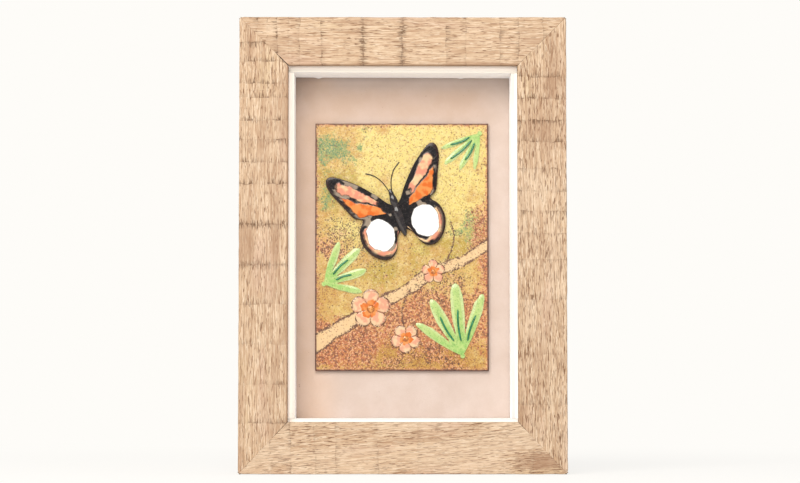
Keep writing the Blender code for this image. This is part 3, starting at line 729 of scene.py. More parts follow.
def rail(name, run, width, neighbours, gaps, marks, slope, look, seed, dark, place, material):
    """One mitred rail: its rebated section carried along the run, sheared to the mitre lines.

    gaps give each mitre's hairline, start then end: its width at the outer and inner ends in mm,
    and the share of the way in where it begins to widen. slope is how far the grain drifts
    across for each step along. look gives the rail's age, its flecks, and how strongly painted
    shade darkens its inner edge. dark lists places as (along, across, half length, half width,
    strength) in mm; a strength below 0 makes a pale calm place.
    """
    age, flecks, lip_shade = look
    rebate = width - LIP_WIDTH
    corners = [(0, FRAME_DEPTH), (0, 0), (width, 0), (width, LIP_THICKNESS),
               (rebate, LIP_THICKNESS), (rebate, FRAME_DEPTH)]
    section, normal, stretch = rounded_section(corners, EDGE_ROUNDS, POINT_SPACING)
    w, d = section[:, 0], section[:, 1]
    flow = np.where(stretch == 0, -d, np.where(stretch >= 2, width + d, w))
    flow = np.where((stretch == 1) & (w < 0.6 * MM), -d * (w < 0.6 * MM) + w, flow)
    rough = np.select([stretch == 0, stretch == 1, stretch == 2], [0.9, 1.0, 0.5], 0.0)
    rough = rough * ease(FRAME_DEPTH, FRAME_DEPTH - 1.0 * MM, d)
    t = np.linspace(0, 1, int(round(run / SECTION_STEP)))[:, None]
    share = np.clip(w / width, 0, 1)
    hair = [(g[0] + (g[1] - g[0]) * ease(g[2], g[2] + 0.2, share)) * MM / 2 for g in gaps]
    s_start = -run / 2 + share * neighbours[0] + hair[0] * MITRE_SLANT
    s_end = run / 2 - share * neighbours[1] - hair[1] * MITRE_SLANT
    s = s_start + t * (s_end - s_start)
    q = np.broadcast_to(flow, s.shape)
    deep, burr, shade, fields = rail_relief(s, q - slope * s, width, marks, seed)
    wander = np.clip(layered_noise(s / (6 * MM), np.full_like(q, 0.5), seed + 12, 3) - 0.3, 0, 1)
    outer = ease(0.8 * MM, 0.1 * MM, w) * (stretch < 2)
    to_corner = np.minimum(s - s_start, s_end - s)
    deep = deep * rough + SIDE_WANDER * outer * wander * (1 - 0.9 * burr)
    deep = deep + CORNER_WEAR * outer * np.clip(1 - to_corner / CORNER_REACH, 0, 1) ** 2
    fields["torn"], fields["bite"] = fields["torn"] * (rough > 0), fields["bite"] * (rough > 0)
    inner = w - normal[:, 0] * deep
    back = d - normal[:, 1] * deep
    points = place(s, inner, back)
    tone = 0.5 * ease(0.55, 0.8, layered_noise(s / (26 * MM), q / (5 * MM), seed + 9, 2))
    tone = tone + 0.40 * ease(0.45, 0.85, shade) + age
    fleck = flecks * (0.55 + 0.9 * layered_noise(s / (20 * MM), q / (6 * MM), seed + 14, 2))
    for along, across, half_long, half_wide, strength in dark:
        patch = strength * np.exp(-((s / MM - along) / half_long) ** 4
                                  - ((q / MM - across) / half_wide) ** 4)
        tone, fleck = tone + patch, fleck + 1.5 * patch
    # Painted shade on the front's inner edge and the lip's inner face, set per rail: strong on the
    # top and left, slight on the right, none on the bottom.
    painted_lip_shade = np.where(stretch >= 2, 1.0, ease(width - 0.9 * MM, width - 0.2 * MM, w))
    painted_lip_shade = painted_lip_shade * ((stretch == 1) | (stretch == 2))
    tone = np.clip(tone + lip_shade * painted_lip_shade, -1, 1)
    grain = np.stack([s + seed * 0.3, inner - slope * s + seed * 0.11, back], axis=-1)
    middle_w, middle_d = rebate / 2, LIP_THICKNESS / 2
    reach = [run / 2 - n * middle_w / width for n in neighbours]
    ends = [place(np.array(along), np.array(middle_w), np.array(middle_d))
            for along in (-reach[0] + hair[0][0], reach[1] - hair[1][0])]
    fields.update({"grain": grain, "tone": tone, "fleck": fleck})
    obj = closed_skin(f"oak_{name}_rail", points, ends[0], ends[1], material, fields)
    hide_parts(f"frame_rail_{name}")


def stacked(x, y, z):
    """Three arrays of coordinates as points."""
    return np.stack(np.broadcast_arrays(x, y, z), axis=-1)


def make_rails(material):
    """The four rails, each in its own coordinates: along, in from the outer edge, and back."""
    right, middle, top = FRAME_WIDTH / 2, FRAME_HEIGHT / 2, FRAME_HEIGHT
    sides, ends = (SIDE_WIDTH, SIDE_WIDTH), (BOTTOM_WIDTH, TOP_WIDTH)
    low_left, low_right = (0.0, 0.16, 0.66), (0.0, 0.12, 0.76)
    high_left, high_right = (0.0, 0.34, 0.70), (0.03, 0.08, 0.70)
    rail("top", FRAME_WIDTH, TOP_WIDTH, sides, (high_left, high_right), TOP_MARKS, 0.0,
         (0.08, 0.4, 0.60), 3,
         ((-20, 2.5, 9, 1.5, 0.25), (-53, 4.6, 3.4, 3.6, -0.5), (65.2, 0.9, 1.1, 0.6, 0.9)),
         lambda s, w, d: stacked(s, world_y(d), top - w), material)
    rail("bottom", FRAME_WIDTH, BOTTOM_WIDTH, sides, (low_left, low_right), BOTTOM_MARKS, 0.07,
         (-0.34, 0.95, 0.0), 11, ((53, 5, 10, 4, 0.9), (64.6, 1.6, 1.4, 1.6, 0.7)),
         lambda s, w, d: stacked(s, world_y(d), w), material)
    rail("left", FRAME_HEIGHT, SIDE_WIDTH, ends, (low_left, high_left), LEFT_MARKS, 0.0,
         (0.0, 0.5, 0.75), 23, (),
         lambda s, w, d: stacked(w - right, world_y(d), middle + s), material)
    rail("right", FRAME_HEIGHT, SIDE_WIDTH, ends, (low_right, high_right), RIGHT_MARKS, 0.01,
         (-0.22, 1.15, 0.05), 37, ((55, 8, 22, 12, 0.36),),
         lambda s, w, d: stacked(right - w, world_y(d), middle + s), material)


# Slips
SLIP_ROUND = 0.08 * MM
SLIP_SPACING = (1.2 * MM, 0.2 * MM, 1.2 * MM, 1.2 * MM)


def slip(name, start, end, thickness, across, warm, burrs, material):
    """A white strip between two (x, z) ends: a rounded oblong carried along it, barely wavy.

    across is the direction from the strip's outer face to its inner face, as (x, z). warm is how
    much creamier its front is: near its start, for most of it and at its end.
    burrs are raised flakes at the back edge, as (place along in mm, height in mm), each Gaussian.
    """
    corners = [(0, SLIP_BACK), (0, SLIP_FRONT), (thickness, SLIP_FRONT), (thickness, SLIP_BACK)]
    section, normal, _ = rounded_section(corners, [SLIP_ROUND] * 4, SLIP_SPACING)
    start, end, across = (np.array(v, float) for v in (start, end, across))
    length = np.linalg.norm(end - start)
    near = 0.03 * MM / length
    rows = int(length / MM) * (2 if burrs else 1)
    t = np.concatenate([[0], np.linspace(near, 1 - near, rows), [1]])[:, None]
    along = t * length
    wave = 0.05 * MM * layered_noise(along / (14 * MM), section[:, 1] / (9 * MM), len(name), 2)
    from_back = SLIP_BACK - section[:, 1]
    at_back = (normal[:, 0] > 0.5) * ease(1.4 * MM, 0.4 * MM, from_back)
    for middle, height in burrs:
        wave = wave - height * MM * at_back * np.exp(-((along / MM - middle) / 1.1) ** 2)
    w = section[:, 0] - normal[:, 0] * wave
    d = section[:, 1] - normal[:, 1] * wave
    x = start[0] + t * (end[0] - start[0]) + across[0] * w
    z = start[1] + t * (end[1] - start[1]) + across[1] * w
    facing = ease(-0.3, -0.9, normal[:, 1])
    foot = (warm[0] > warm[1]) * ease(6.1 * MM, 5.7 * MM, along)
    # front begins only 4.0 mm out from the outer face, so the band next to the lip keeps the
    # brighter rim white: painted light against the lip's shadow.
    fields = {"front": facing * ease(4.0 * MM, 5.1 * MM, section[:, 0]) + 0 * t,
              "rim": facing + 0 * t,
              "warm": (warm[1] + (warm[0] - warm[1]) * foot
                       + (warm[2] - warm[1]) * ease(0.86, 0.97, t) + 0 * w)}
    middle = [stacked(p[0] + across[0] * thickness / 2, world_y((SLIP_FRONT + SLIP_BACK) / 2),
                      p[1] + across[1] * thickness / 2) for p in (start, end)]
    obj = closed_skin("white_slip_" + name, stacked(x, world_y(d), z), middle[0], middle[1],
                      material, fields)
    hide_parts("spacer_" + name)


def make_slips(material):
    """Four slips: the left one drifts in at the bottom, and the top one droops to the right."""
    out, low, high = 49.7 * MM, 17.25 * MM, 167.6 * MM
    droop, drift, joint, play = 0.35 * MM, 0.6 * MM, 0.02 * MM, 0.4 * MM
    thick = {"bottom": 5.05 * MM, "top": 5.75 * MM, "left": 5.85 * MM, "right": 6.0 * MM}
    slip("bottom", (-out + drift, low), (out - play, low), thick["bottom"], (0, 1),
         (1.0, 0.4, 0.2), (), material)
    slip("top", (-out, high), (out - play, high - droop), thick["top"], (0, -1),
         (1.0, 1.0, 1.0), ((15.2, 0.4), (73.5, 0.25)), material)
    inner_low, inner_high = low + thick["bottom"] + joint, high - thick["top"] - joint
    slip("left", (-out + drift, inner_low), (-out, inner_high - 0.15 * droop), thick["left"],
         (1, 0), (1.0, 1.0, 1.0), (), material)
    slip("right", (out, inner_low), (out, inner_high - droop), thick["right"], (-1, 0),
         (0.0, 0.0, 0.8), (), material)


# The plate

# Sprays: root in shares of the plate's half sizes, blade angles, which blade is the longest, its
# length in shares of the plate's width, and half the angle that one blade fills at its root
SPRAYS = (("low_right", (0.70, -0.88), (72, 96, 120, 145), 1, 0.42, 11.0),
          ("left", (-0.90, -0.30), (-12, 18, 45, 70), 2, 0.29, 12.0),
          ("high_right", (0.90, 0.92), (201, 221, 241, 262), 1, 0.27, 9.5))
# Threads: spray, blade, and where the thread begins and ends in shares of the blade's length
THREADS = ((0, 0, 0.24, 0.66), (0, 1, 0.20, 0.64), (0, 2, 0.26, 0.70), (1, 2, 0.26, 0.68),
           (1, 1, 0.28, 0.66), (2, 0, 0.26, 0.76), (2, 1, 0.22, 0.84), (2, 2, 0.26, 0.74))
THREAD_RADIUS, THREAD_LIFT, THREAD_SIDES = 0.42 * MM, 0.12 * MM, 12
# Blossoms: centre in shares of the plate's half sizes, reach in shares of its width, and turn
BLOSSOMS = (((-0.36, -0.50), 0.118, 0.3), ((0.04, -0.74), 0.088, 0.9), ((0.36, -0.20), 0.072, 1.6))
PLATE_ROUND, RIPPLE_DEPTH = 0.45 * MM, 0.10 * MM
GLASS_SINK = 0.2 * MM    # how deep the raised glass is set into the plate
HEEL = 1.0 * MM
WEB = 0.34               # how far out the glass fills the angle between two blades
BLADE_POINTS, HEEL_POINTS, BLOSSOM_POINTS, BEAD_SIDES = 41, 10, 160, 24
# Zones of the ground: where each begins and is full, how far noise frays it, and its patches as
# strength, centre and half sizes, in shares of the plate's half sizes
ZONES = {
    "lemon": (0.24, 0.70, 1.0, ((1.0, 0.20, 0.72, 0.85, 0.42), (0.7, -0.35, -0.94, 0.4, 0.10),
                                (0.5, 0.5, 0.3, 0.5, 0.3), (0.5, -0.5, 0.1, 0.45, 0.22))),
    "olive": (0.22, 0.75, 1.0, ((0.9, -0.60, 0.46, 0.5, 0.26), (0.95, 0.60, 0.10, 0.5, 0.24),
                                (0.85, 0.1, -0.82, 0.9, 0.16), (0.6, -0.3, -0.22, 0.5, 0.16))),
    "green": (0.36, 0.85, 1.0, ((1.0, -0.78, 0.80, 0.32, 0.18), (0.6, -0.88, 0.36, 0.24, 0.2),
                                (0.6, 0.84, 0.14, 0.24, 0.2), (0.5, -0.2, -0.93, 0.5, 0.1))),
    "rust": (0.28, 0.80, 0.9, ((1.0, 0.34, -0.60, 0.85, 0.30), (0.95, -0.70, -0.80, 0.45, 0.20),
                               (0.6, -0.85, -0.02, 0.36, 0.14), (0.75, 0.97, -0.02, 0.2, 0.45))),
    "amber": (0.22, 0.70, 0.8, ((1.0, -0.05, -0.86, 1.1, 0.20), (0.4, -0.9, -0.35, 0.3, 0.3))),
    "pepper": (0.25, 0.90, 1.0, ((0.8, -0.62, 0.05, 0.5, 0.3), (0.7, 0.6, -0.35, 0.5, 0.3),
                                 (0.5, 0.1, -0.85, 0.8, 0.2)))}
TWIG = ((-1.15, -0.86), (-0.72, -0.66), (-0.36, -0.50), (0.02, -0.36), (0.36, -0.20),
        (0.74, -0.10), (1.15, 0.10))
STEMS = (((0.10, -0.33), (0.0, -0.52), (0.04, -0.68)), ((0.50, -0.15), (0.60, 0.06), (0.56, 0.2)))


def on_plate(across, up):
    """A place on the plate from shares of its half width and half height."""
    return np.array([PLATE_MIDDLE[0] + across * PLATE_WIDTH / 2,
                     PLATE_MIDDLE[1] + up * PLATE_HEIGHT / 2])


def blade_reach(longest, away):
    """The blades of a spray shorten step by step to either side of its longest one."""
    return longest * PLATE_WIDTH * (1.0 - 0.11 * abs(away))


def path_share(x, z, stops):
    """Distance from a path through the stops, and how far along it the nearest point lies."""
    best, where = np.full(x.shape, 9.0), np.zeros(x.shape)
    stops = np.array(stops)
    for k in range(len(stops) - 1):
        a, b = stops[k], stops[k + 1]
        run = b - a
        t = np.clip(((x - a[0]) * run[0] + (z - a[1]) * run[1]) / (run @ run), 0, 1)
        away = np.hypot(x - a[0] - t * run[0], z - a[1] - t * run[1])
        closer = away < best
        best = np.where(closer, away, best)
        where = np.where(closer, (k + t) / (len(stops) - 1), where)
    return best, where


def smooth_path(stops, steps=10):
    """A Catmull-Rom curve through the stops."""
    p = np.array(stops, float)
    p = np.concatenate([p[:1], p, p[-1:]])
    t = np.arange(steps)[:, None] / steps
    pieces = []
    for k in range(1, len(p) - 2):
        a, b, c, e = p[k - 1], p[k], p[k + 1], p[k + 2]
        pieces.append(0.5 * (2 * b + (c - a) * t + (2 * a - 5 * b + 4 * c - e) * t ** 2
                             + (3 * b - a - 3 * c + e) * t ** 3))
    return np.concatenate(pieces + [p[-2:-1]])


def ground_fields(x, z, edge):
    """The ground's colour zones: sums of Gaussian patches whose borders noise has broken up.

    edge is the way in from the plate's nearest edge. The twig's half width narrows along it;
    line follows its borders and the stems as a Gaussian of the distance.
    """
    u = (x - PLATE_MIDDLE[0]) / (PLATE_WIDTH / 2)
    v = (z - PLATE_MIDDLE[1]) / (PLATE_HEIGHT / 2)
    rag = layered_noise(x / (7 * MM), z / (7 * MM), 5, 4) - 0.5
    fine = layered_noise(x / (1.6 * MM), z / (1.6 * MM), 6, 3) - 0.5
    wave = rag * 1.1 + fine * 0.35
    fields = {}
    for zone, (begins, full, fray, patches) in ZONES.items():
        total = sum(strength * np.exp(-((u - across) / half_u) ** 2 - ((v - up) / half_v) ** 2)
                    for strength, across, up, half_u, half_v in patches)
        fields[zone] = ease(begins, full, total + fray * wave)
    fields["rust"] = np.clip(fields["rust"] + 0.035 + 0.5 * ease(2.2 * MM, 0.3 * MM, edge), 0, 1)
    fields["pepper"] = fields["pepper"] + 0.03
    away, along = path_share(x, z, smooth_path([on_plate(*p) for p in TWIG]))
    half = (3.4 - 1.6 * along) * MM * (0.9 + 0.7 * rag)
    fields["twig"] = ease(0.35 * MM, -0.25 * MM, away - half)
    line = np.exp(-((away - half) / (0.42 * MM)) ** 2) * ease(0.25, 0.7, 0.62 + fine)
    for stops in STEMS:
        stem, _ = path_share(x, z, smooth_path([on_plate(*p) for p in stops]))
        line = np.maximum(line, 0.85 * np.exp(-(stem / (0.38 * MM)) ** 2))
    fields["line"] = np.clip(line, 0, 1)
    tight = layered_noise(x / (0.9 * MM), z / (0.9 * MM), 9, 2)
    widths = np.where(u > 0.98, 0.62, 0.40) * MM * (0.35 + 1.3 * tight + 0.6 * (rag + 0.3))
    fields["scale"] = ease(0.22 * MM, -0.12 * MM, edge - widths)
    return fields


def make_plate(material):
    """The plate as a slab section carried up it: flat faces, quarter-round edges and ends.

    Towards either end the slab thins as a quarter circle. The front bears the glass's own low
    ripple, and fields for its colours.
    """
    half_w, half_h, radius = PLATE_WIDTH / 2, PLATE_HEIGHT / 2, PLATE_ROUND
    corners = [(-half_w, PLATE_BACK), (-half_w, PLATE_FRONT), (half_w, PLATE_FRONT),
               (half_w, PLATE_BACK)]
    section, normal, stretch = rounded_section(corners, [0.3 * MM, radius, radius, 0.3 * MM],
                                               [0.5 * MM, 0.36 * MM, 0.5 * MM, 4 * MM])
    inner = np.linspace(-half_h + radius, half_h - radius, int(PLATE_HEIGHT / (0.36 * MM)))
    bend = np.linspace(0, 1, CORNER_POINTS)[:-1]
    cap = radius * (1 - np.cos(np.pi / 2 * bend))
    rise = np.concatenate([cap - half_h, inner, half_h - cap[::-1]])
    z = rise[:, None] + PLATE_MIDDLE[1]
    short = np.clip(half_h - np.abs(rise), 0, radius)
    thin = np.sqrt(np.clip(1 - (1 - short / radius) ** 2, 0.02, 1))[:, None]
    centre = (PLATE_BACK + PLATE_FRONT) / 2
    x = section[:, 0] + PLATE_MIDDLE[0] + 0 * z
    inset = radius * (1 - thin)
    d = section[:, 1] + 0 * z
    d = np.where(d < centre, np.maximum(d, PLATE_FRONT + inset), np.minimum(d, PLATE_BACK - inset))
    z = z + 0 * x
    edge = np.minimum(half_w - np.abs(x - PLATE_MIDDLE[0]), half_h - np.abs(z - PLATE_MIDDLE[1]))
    front = (stretch == 1) & (normal[:, 1] < -0.9)
    ripple = RIPPLE_DEPTH * (layered_noise(x / (3.5 * MM), z / (3.5 * MM), 8, 4) - 0.2)
    d = d + np.where(front & (thin > 0.99), np.clip(ripple, 0, None) * ease(0, 1.0 * MM, edge), 0)
    ends = [np.array([PLATE_MIDDLE[0], world_y(centre), PLATE_MIDDLE[1] + e * half_h])
            for e in (-1, 1)]
    obj = closed_skin("enamel_ground_plate", stacked(x, world_y(d), z), ends[0], ends[1], material,
                      ground_fields(x, z, edge))
    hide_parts("enamel_plate")


def cutout(name, centre, outline, top, height, back, material, fields=None, rings=14):
    """A raised shape with one star-shaped outline of (x, z) points about its centre.

    Rings shrink evenly from the outline to the centre on top; height gives the depth there from
    the share out and the point's number. The wall drops straight to the back, which is flat.
    """
    reach = np.array([1e-3, *np.linspace(0.06, 0.90, rings), 0.94, 0.97, 0.99, 1.0])[:, None]
    arms = outline - centre
    lift = height(reach, np.arange(len(outline)))
    spans = np.concatenate([reach, [[1.0], [1.0], [0.5]]])
    depths = np.concatenate([top - lift, np.full((1, len(outline)), (top + back) / 2),
                             np.full((2, len(outline)), back)])
    x = centre[0] + spans * arms[:, 0]
    z = centre[1] + spans * arms[:, 1]
    values = {}
    for field, make in (fields or {}).items():
        on_top = make(reach, np.arange(len(outline))) + 0 * lift
        values[field] = np.concatenate([on_top, on_top[-1:], on_top[-1:], on_top[-1:]])
    first = np.array([centre[0], world_y(top - lift[0].mean()), centre[1]])
    last = np.array([centre[0], world_y(back), centre[1]])
    obj = closed_skin(name, stacked(x, world_y(depths), z), first, last, material, values)
    return obj


def make_sprays(material):
    """Leaf sprays: each blade reaches out as a cosine of its share of angle, and is domed."""
    for name, root, angles, tallest_blade, longest, half in SPRAYS:
        centre = on_plate(*root)
        theta, reach, side = [], [], []
        shares = np.sin(np.linspace(-1, 1, BLADE_POINTS) * math.pi / 2)
        for i, angle in enumerate(angles):
            full = blade_reach(longest, i - tallest_blade)
            fall = np.cos(math.pi / 2 * shares) ** 0.9 * (np.abs(shares) < 0.999)
            jitter = value_noise(np.arange(BLADE_POINTS) / 2.2, i, len(name) + 70) - 0.5
            theta.append(angle + half * (shares + 0.12 * jitter * (1 - shares ** 4)))
            low = HEEL if i == 0 else WEB * full
            high = HEEL if i == len(angles) - 1 else WEB * full
            heel = low + (high - low) * ease(-0.6, 0.6, shares)
            reach.append(heel + (full - heel) * fall)
            side.append(shares)
        rest = np.linspace(angles[-1] + half, angles[0] - half + 360, HEEL_POINTS + 2)[1:-1]
        theta = np.radians(np.concatenate(theta + [rest]))
        reach = np.concatenate(reach + [np.full(HEEL_POINTS, HEEL)])
        side = np.concatenate(side + [np.zeros(HEEL_POINTS)])
        outline = centre + np.stack([np.cos(theta), np.sin(theta)], axis=-1) * reach[:, None]

        def rim(share, i):
            """How near a point is to its blade's sides or end."""
            out = share * reach[i]
            tallest = reach.max()
            limit = 1 - ease(HEEL, tallest, out) * 0.75
            lateral = np.abs(side[i]) / limit * ease(0.2, 0.45, out / tallest)
            return np.clip(np.maximum(ease(0.55, 0.98, lateral), ease(0.93, 1.0, share)), 0, 1)

        def lift(share, i):
            """Height of the glass: full along the middle of a blade, low at its rim."""
            low = np.minimum(1, 0.55 + 0.45 * (1 - rim(share, i))) + 0 * reach[i]
            return GLASS_RISE * low * (1 - 0.35 * ease(0.97, 1.0, share))

        cutout("leaf_spray_" + name, centre, outline, PLATE_FRONT, lift, PLATE_FRONT + GLASS_SINK,
               material, {"rim": rim, "along": lambda share, i: share}, rings=22)


def thread(name, path, radius, depth, material, club=1.0):
    """A glass thread along (x, z) points: a circle carried along, tapered to round ends."""
    path = np.asarray(path)
    tangent = np.gradient(path, axis=0)
    tangent /= np.linalg.norm(tangent, axis=1)[:, None]
    t = np.linspace(0, 1, len(path))
    size = radius * np.sqrt(np.clip(1 - (2 * t - 1) ** 8, 0.03, 1)) * (1 + (club - 1) * t ** 6)
    turn = np.linspace(0, 2 * math.pi, THREAD_SIDES + 1)[:-1]
    x = path[:, :1] + size[:, None] * np.cos(turn) * -tangent[:, 1:]
    z = path[:, 1:] + size[:, None] * np.cos(turn) * tangent[:, :1]
    y = world_y(depth) + size[:, None] * np.sin(turn)
    ends = [np.array([p[0], world_y(depth), p[1]]) for p in (path[0], path[-1])]
    obj = closed_skin(name, stacked(x, y, z), ends[0], ends[1], material)


def make_threads(material):
    """Dark green glass threads on the blades of the sprays, each bent by a low sine."""
    for k, (number, blade, start, end) in enumerate(THREADS):
        _, root, angles, tallest_blade, longest, _ = SPRAYS[number]
        length = blade_reach(longest, blade - tallest_blade)
        turn = math.radians(angles[blade])
        t = np.linspace(start, end, 24)
        bend = 0.5 * MM * np.sin(math.pi * (t - start) / (end - start))
        origin = on_plate(*root)
        path = np.stack([origin[0] + length * t * math.cos(turn) - bend * math.sin(turn),
                         origin[1] + length * t * math.sin(turn) + bend * math.cos(turn)], axis=-1)
        thread(f"glass_thread_{k + 1}", path, THREAD_RADIUS,
               PLATE_FRONT - GLASS_RISE - THREAD_LIFT, material)


def make_blossoms(petal, bead):
    """Five-petalled blossoms whose reach swells with the root of a cosine of the petal angle.

    Each has a bead: a ball half as high as it is wide.
    """
    for k, (place, radius, turn) in enumerate(BLOSSOMS):
        centre = on_plate(*place)
        theta = np.linspace(0, 2 * math.pi, BLOSSOM_POINTS + 1)[:-1]
        swell = np.abs(np.cos(2.5 * (theta - turn)))
        uneven = 0.95 + 0.10 * layered_noise(1.1 * np.cos(theta) + 3, 1.1 * np.sin(theta) + k,
                                             80, 4)
        reach = radius * PLATE_WIDTH * (0.60 + 0.38 * swell ** 0.5) * uneven
        outline = centre + np.stack([np.cos(theta), np.sin(theta)], axis=-1) * reach[:, None]

        def fold(share, i):
            """The creases between petals, where the swell is least."""
            return ease(0.30, 0.0, swell[i]) * ease(0.2, 0.6, share)

        def lift(share, i):
            """Height of the petals, low in the creases and at the edge."""
            return GLASS_RISE * (1 - 0.45 * fold(share, i)) * (1 - 0.5 * ease(0.92, 1.0, share))

        cutout(f"blossom_{k + 1}", centre, outline, PLATE_FRONT, lift, PLATE_FRONT + GLASS_SINK,
               petal,
               {"rim": lambda share, i: ease(0.86, 0.97, share),
                "along": lambda share, i: share, "fold": fold}, rings=12)
        size = 0.2 * radius * PLATE_WIDTH
        lat = np.linspace(0.12, math.pi - 0.12, 10)[:, None]
        around = np.linspace(0, 2 * math.pi, BEAD_SIDES + 1)[:-1]
        x = centre[0] + size * np.sin(lat) * np.cos(around)
        z = centre[1] + size * np.sin(lat) * np.sin(around)
        y = world_y(PLATE_FRONT - GLASS_RISE) - size / 2 * np.cos(lat) + 0 * around
        ends = [np.array([centre[0], world_y(PLATE_FRONT - GLASS_RISE) - e * size / 2, centre[1]])
                for e in (1, -1)]
        obj = closed_skin(f"blossom_bead_{k + 1}", stacked(x, y, z), ends[0], ends[1], bead)


# The butterfly
ANTENNA_RADIUS = 0.20 * MM
WING_OUTLINE = ((0.0, 0.07), (0.12, 0.16), (0.27, 0.36), (0.55, 0.66), (0.86, 0.88), (0.99, 0.84),
                (0.98, 0.64), (0.86, 0.36), (0.74, 0.10), (0.61, 0.01), (0.72, -0.16),
                (0.74, -0.40), (0.62, -0.64), (0.42, -0.76), (0.24, -0.68), (0.12, -0.42),
                (0.0, -0.34))


def wing_place(points):
    """From shares of the wing's reach on the butterfly's own lines to (x, z) on the plate."""
    u, v = points[..., 0] * WING_REACH, points[..., 1] * WING_REACH
    cos, sin = math.cos(WING_TILT), math.sin(WING_TILT)
    return on_plate(*WING_CENTRE) + np.stack([u * cos - v * sin, u * sin + v * cos], axis=-1)


def make_butterfly(material, black):
    """The cut-out butterfly: one plate of black glass with hand-laid fields of other glass.

    The fore wing has an orange and a peach field between radiating edges, the hind wing a white
    oval and a peach margin. A field is where angle and share out from the middle lie in its
    range, both loosened by noise; seams run where a field is half there. The body is a ball
    drawn out along its line and narrowed by two Gaussians.
    """
    half = smooth_path(WING_OUTLINE, 12)
    whole = np.concatenate([half, half[-2:0:-1] * [-1, 1]])
    hub = np.array([0.0, -0.045])
    arms = whole - hub
    angle = np.degrees(np.arctan2(arms[:, 1], np.abs(arms[:, 0])))
    outline, centre = wing_place(whole), wing_place(hub)

    def loose(share, i, size, seed):
        """Noise about 0, laid over the wings in cells of a size."""
        x, z = share * arms[i, 0] * WING_REACH, share * arms[i, 1] * WING_REACH
        return layered_noise(x / size, z / size, seed, 3) - 0.5

    def within(value, low, high, soft):
        """1 between two limits, and 0 outside them, with soft ends."""
        return ease(low, low + soft, value) * ease(high, high - soft, value)

    def sector(share, i, angles, shares):
        """A field between two angles in degrees and two shares of the way out."""
        turn = angle[i] + 7 * loose(share, i, 3 * MM, 4)
        out = share + 0.10 * loose(share, i, 2.4 * MM, 5)
        return within(turn, *angles, 1.2) * within(out, *shares, 0.03)

    def orange(share, i):
        return sector(share, i, (10.5, 33.5), (0.27, 0.90))

    def white(share, i):
        u, v = share * np.abs(arms[i, 0]), share * arms[i, 1] - 0.045
        away = np.hypot((u - 0.40) / 0.23, (v + 0.33) / 0.27) + 0.22 * loose(share, i, 3 * MM, 6)
        return ease(1.05, 0.97, away)

    def peach(share, i):
        hind = sector(share, i, (-74, -9), (0.80, 0.925)) * ease(0.2, 0.0, white(share, i))
        return np.maximum(sector(share, i, (35.5, 47.0), (0.30, 0.88)), hind)

    def laid(share, i):
        """Where any glass is laid into the black."""
        return np.maximum(np.maximum(orange(share, i), peach(share, i)), white(share, i))

    def taupe(share, i):
        others = laid(share, i)
        cloud = ease(0.06, 0.13, loose(share, i, 3.2 * MM, 12))
        return cloud * (1 - others) * ease(0.97, 0.9, share)

    def rim(share, i):
        """The burnt edge, and the seams where a field is half there."""
        seams = sum(4 * f * (1 - f) for f in (orange(share, i), peach(share, i)))
        return np.clip(ease(0.955, 0.985, share) + seams, 0, 1)

    def lift(share, i):
        """Height of the wings' face, lowest at the rim and highest on the laid glass."""
        sunk = 0.16 - 0.10 * laid(share, i) + 0.08 * (loose(share, i, 2.0 * MM, 15) + 0.5)
        return WING_BACK - WING_FRONT - (sunk + 0.16 * ease(0.97, 1.0, share)) * MM

    fields = {"orange": orange, "white": white, "peach": peach, "taupe": taupe, "rim": rim}
    wings = cutout("butterfly_wings", centre, outline, WING_BACK, lift, PLATE_FRONT - 0.02 * MM,
                   material, fields, rings=90)
    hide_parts("butterfly")
    along = np.linspace(-1, 1, 40)[1:-1][:, None]
    around = np.linspace(0, 2 * math.pi, BEAD_SIDES + 1)[:-1]
    waist = (1 - 0.45 * np.exp(-((along - 0.25) / 0.12) ** 2)
             - 0.2 * np.exp(-((along - 0.72) / 0.08) ** 2))
    size = np.sqrt(1 - along ** 2) * waist
    local = np.stack([BODY_HALF_WIDTH * size * np.cos(around),
                      BODY_HALF_LENGTH * along - BODY_DROP + 0 * around], axis=-1)
    flat = wing_place(local / WING_REACH)
    middle = world_y(WING_FRONT + 0.1 * MM)
    tips = [wing_place(np.array([0.0, e * BODY_HALF_LENGTH - BODY_DROP]) / WING_REACH)
            for e in (-1, 1)]
    ends = [np.array([p[0], middle, p[1]]) for p in tips]
    rings = stacked(flat[..., 0], middle - BODY_HEIGHT * size * np.sin(around), flat[..., 1])
    body = closed_skin("butterfly_body", rings, ends[0], ends[1], black)
    for side, name in ((-1, "left"), (1, "right")):
        stops = smooth_path([(side * 0.02, 0.32), (side * 0.07, 0.50), (side * 0.17, 0.66),
                             (side * 0.31, 0.76)], 8)
        thread("antenna_" + name, wing_place(stops), ANTENNA_RADIUS, PLATE_FRONT - THREAD_LIFT,
               black, club=2.0)


# Stage, light and camera
BACKDROP = (0.991, 0.974, 0.939, 1.0)
FLOOR_HALF = 4.0
FILL_LIGHT = (0.60, 0.615, 0.645, 1.0)
KEY_COLOUR, KEY_WATTS, KEY_SIZE, KEY_DISTANCE = (1.0, 0.963, 0.90), 29.8, 1.1, 1.6
KEY_DIRECTION = np.array([-0.207, -0.832, 0.515])
LENS, SENSOR = 112.5, 36.0
CAMERA_PLACE = (-0.005, -1.01465, 0.033)
CAMERA_PITCH, CAMERA_TURN = math.radians(93.44), math.radians(-0.22)


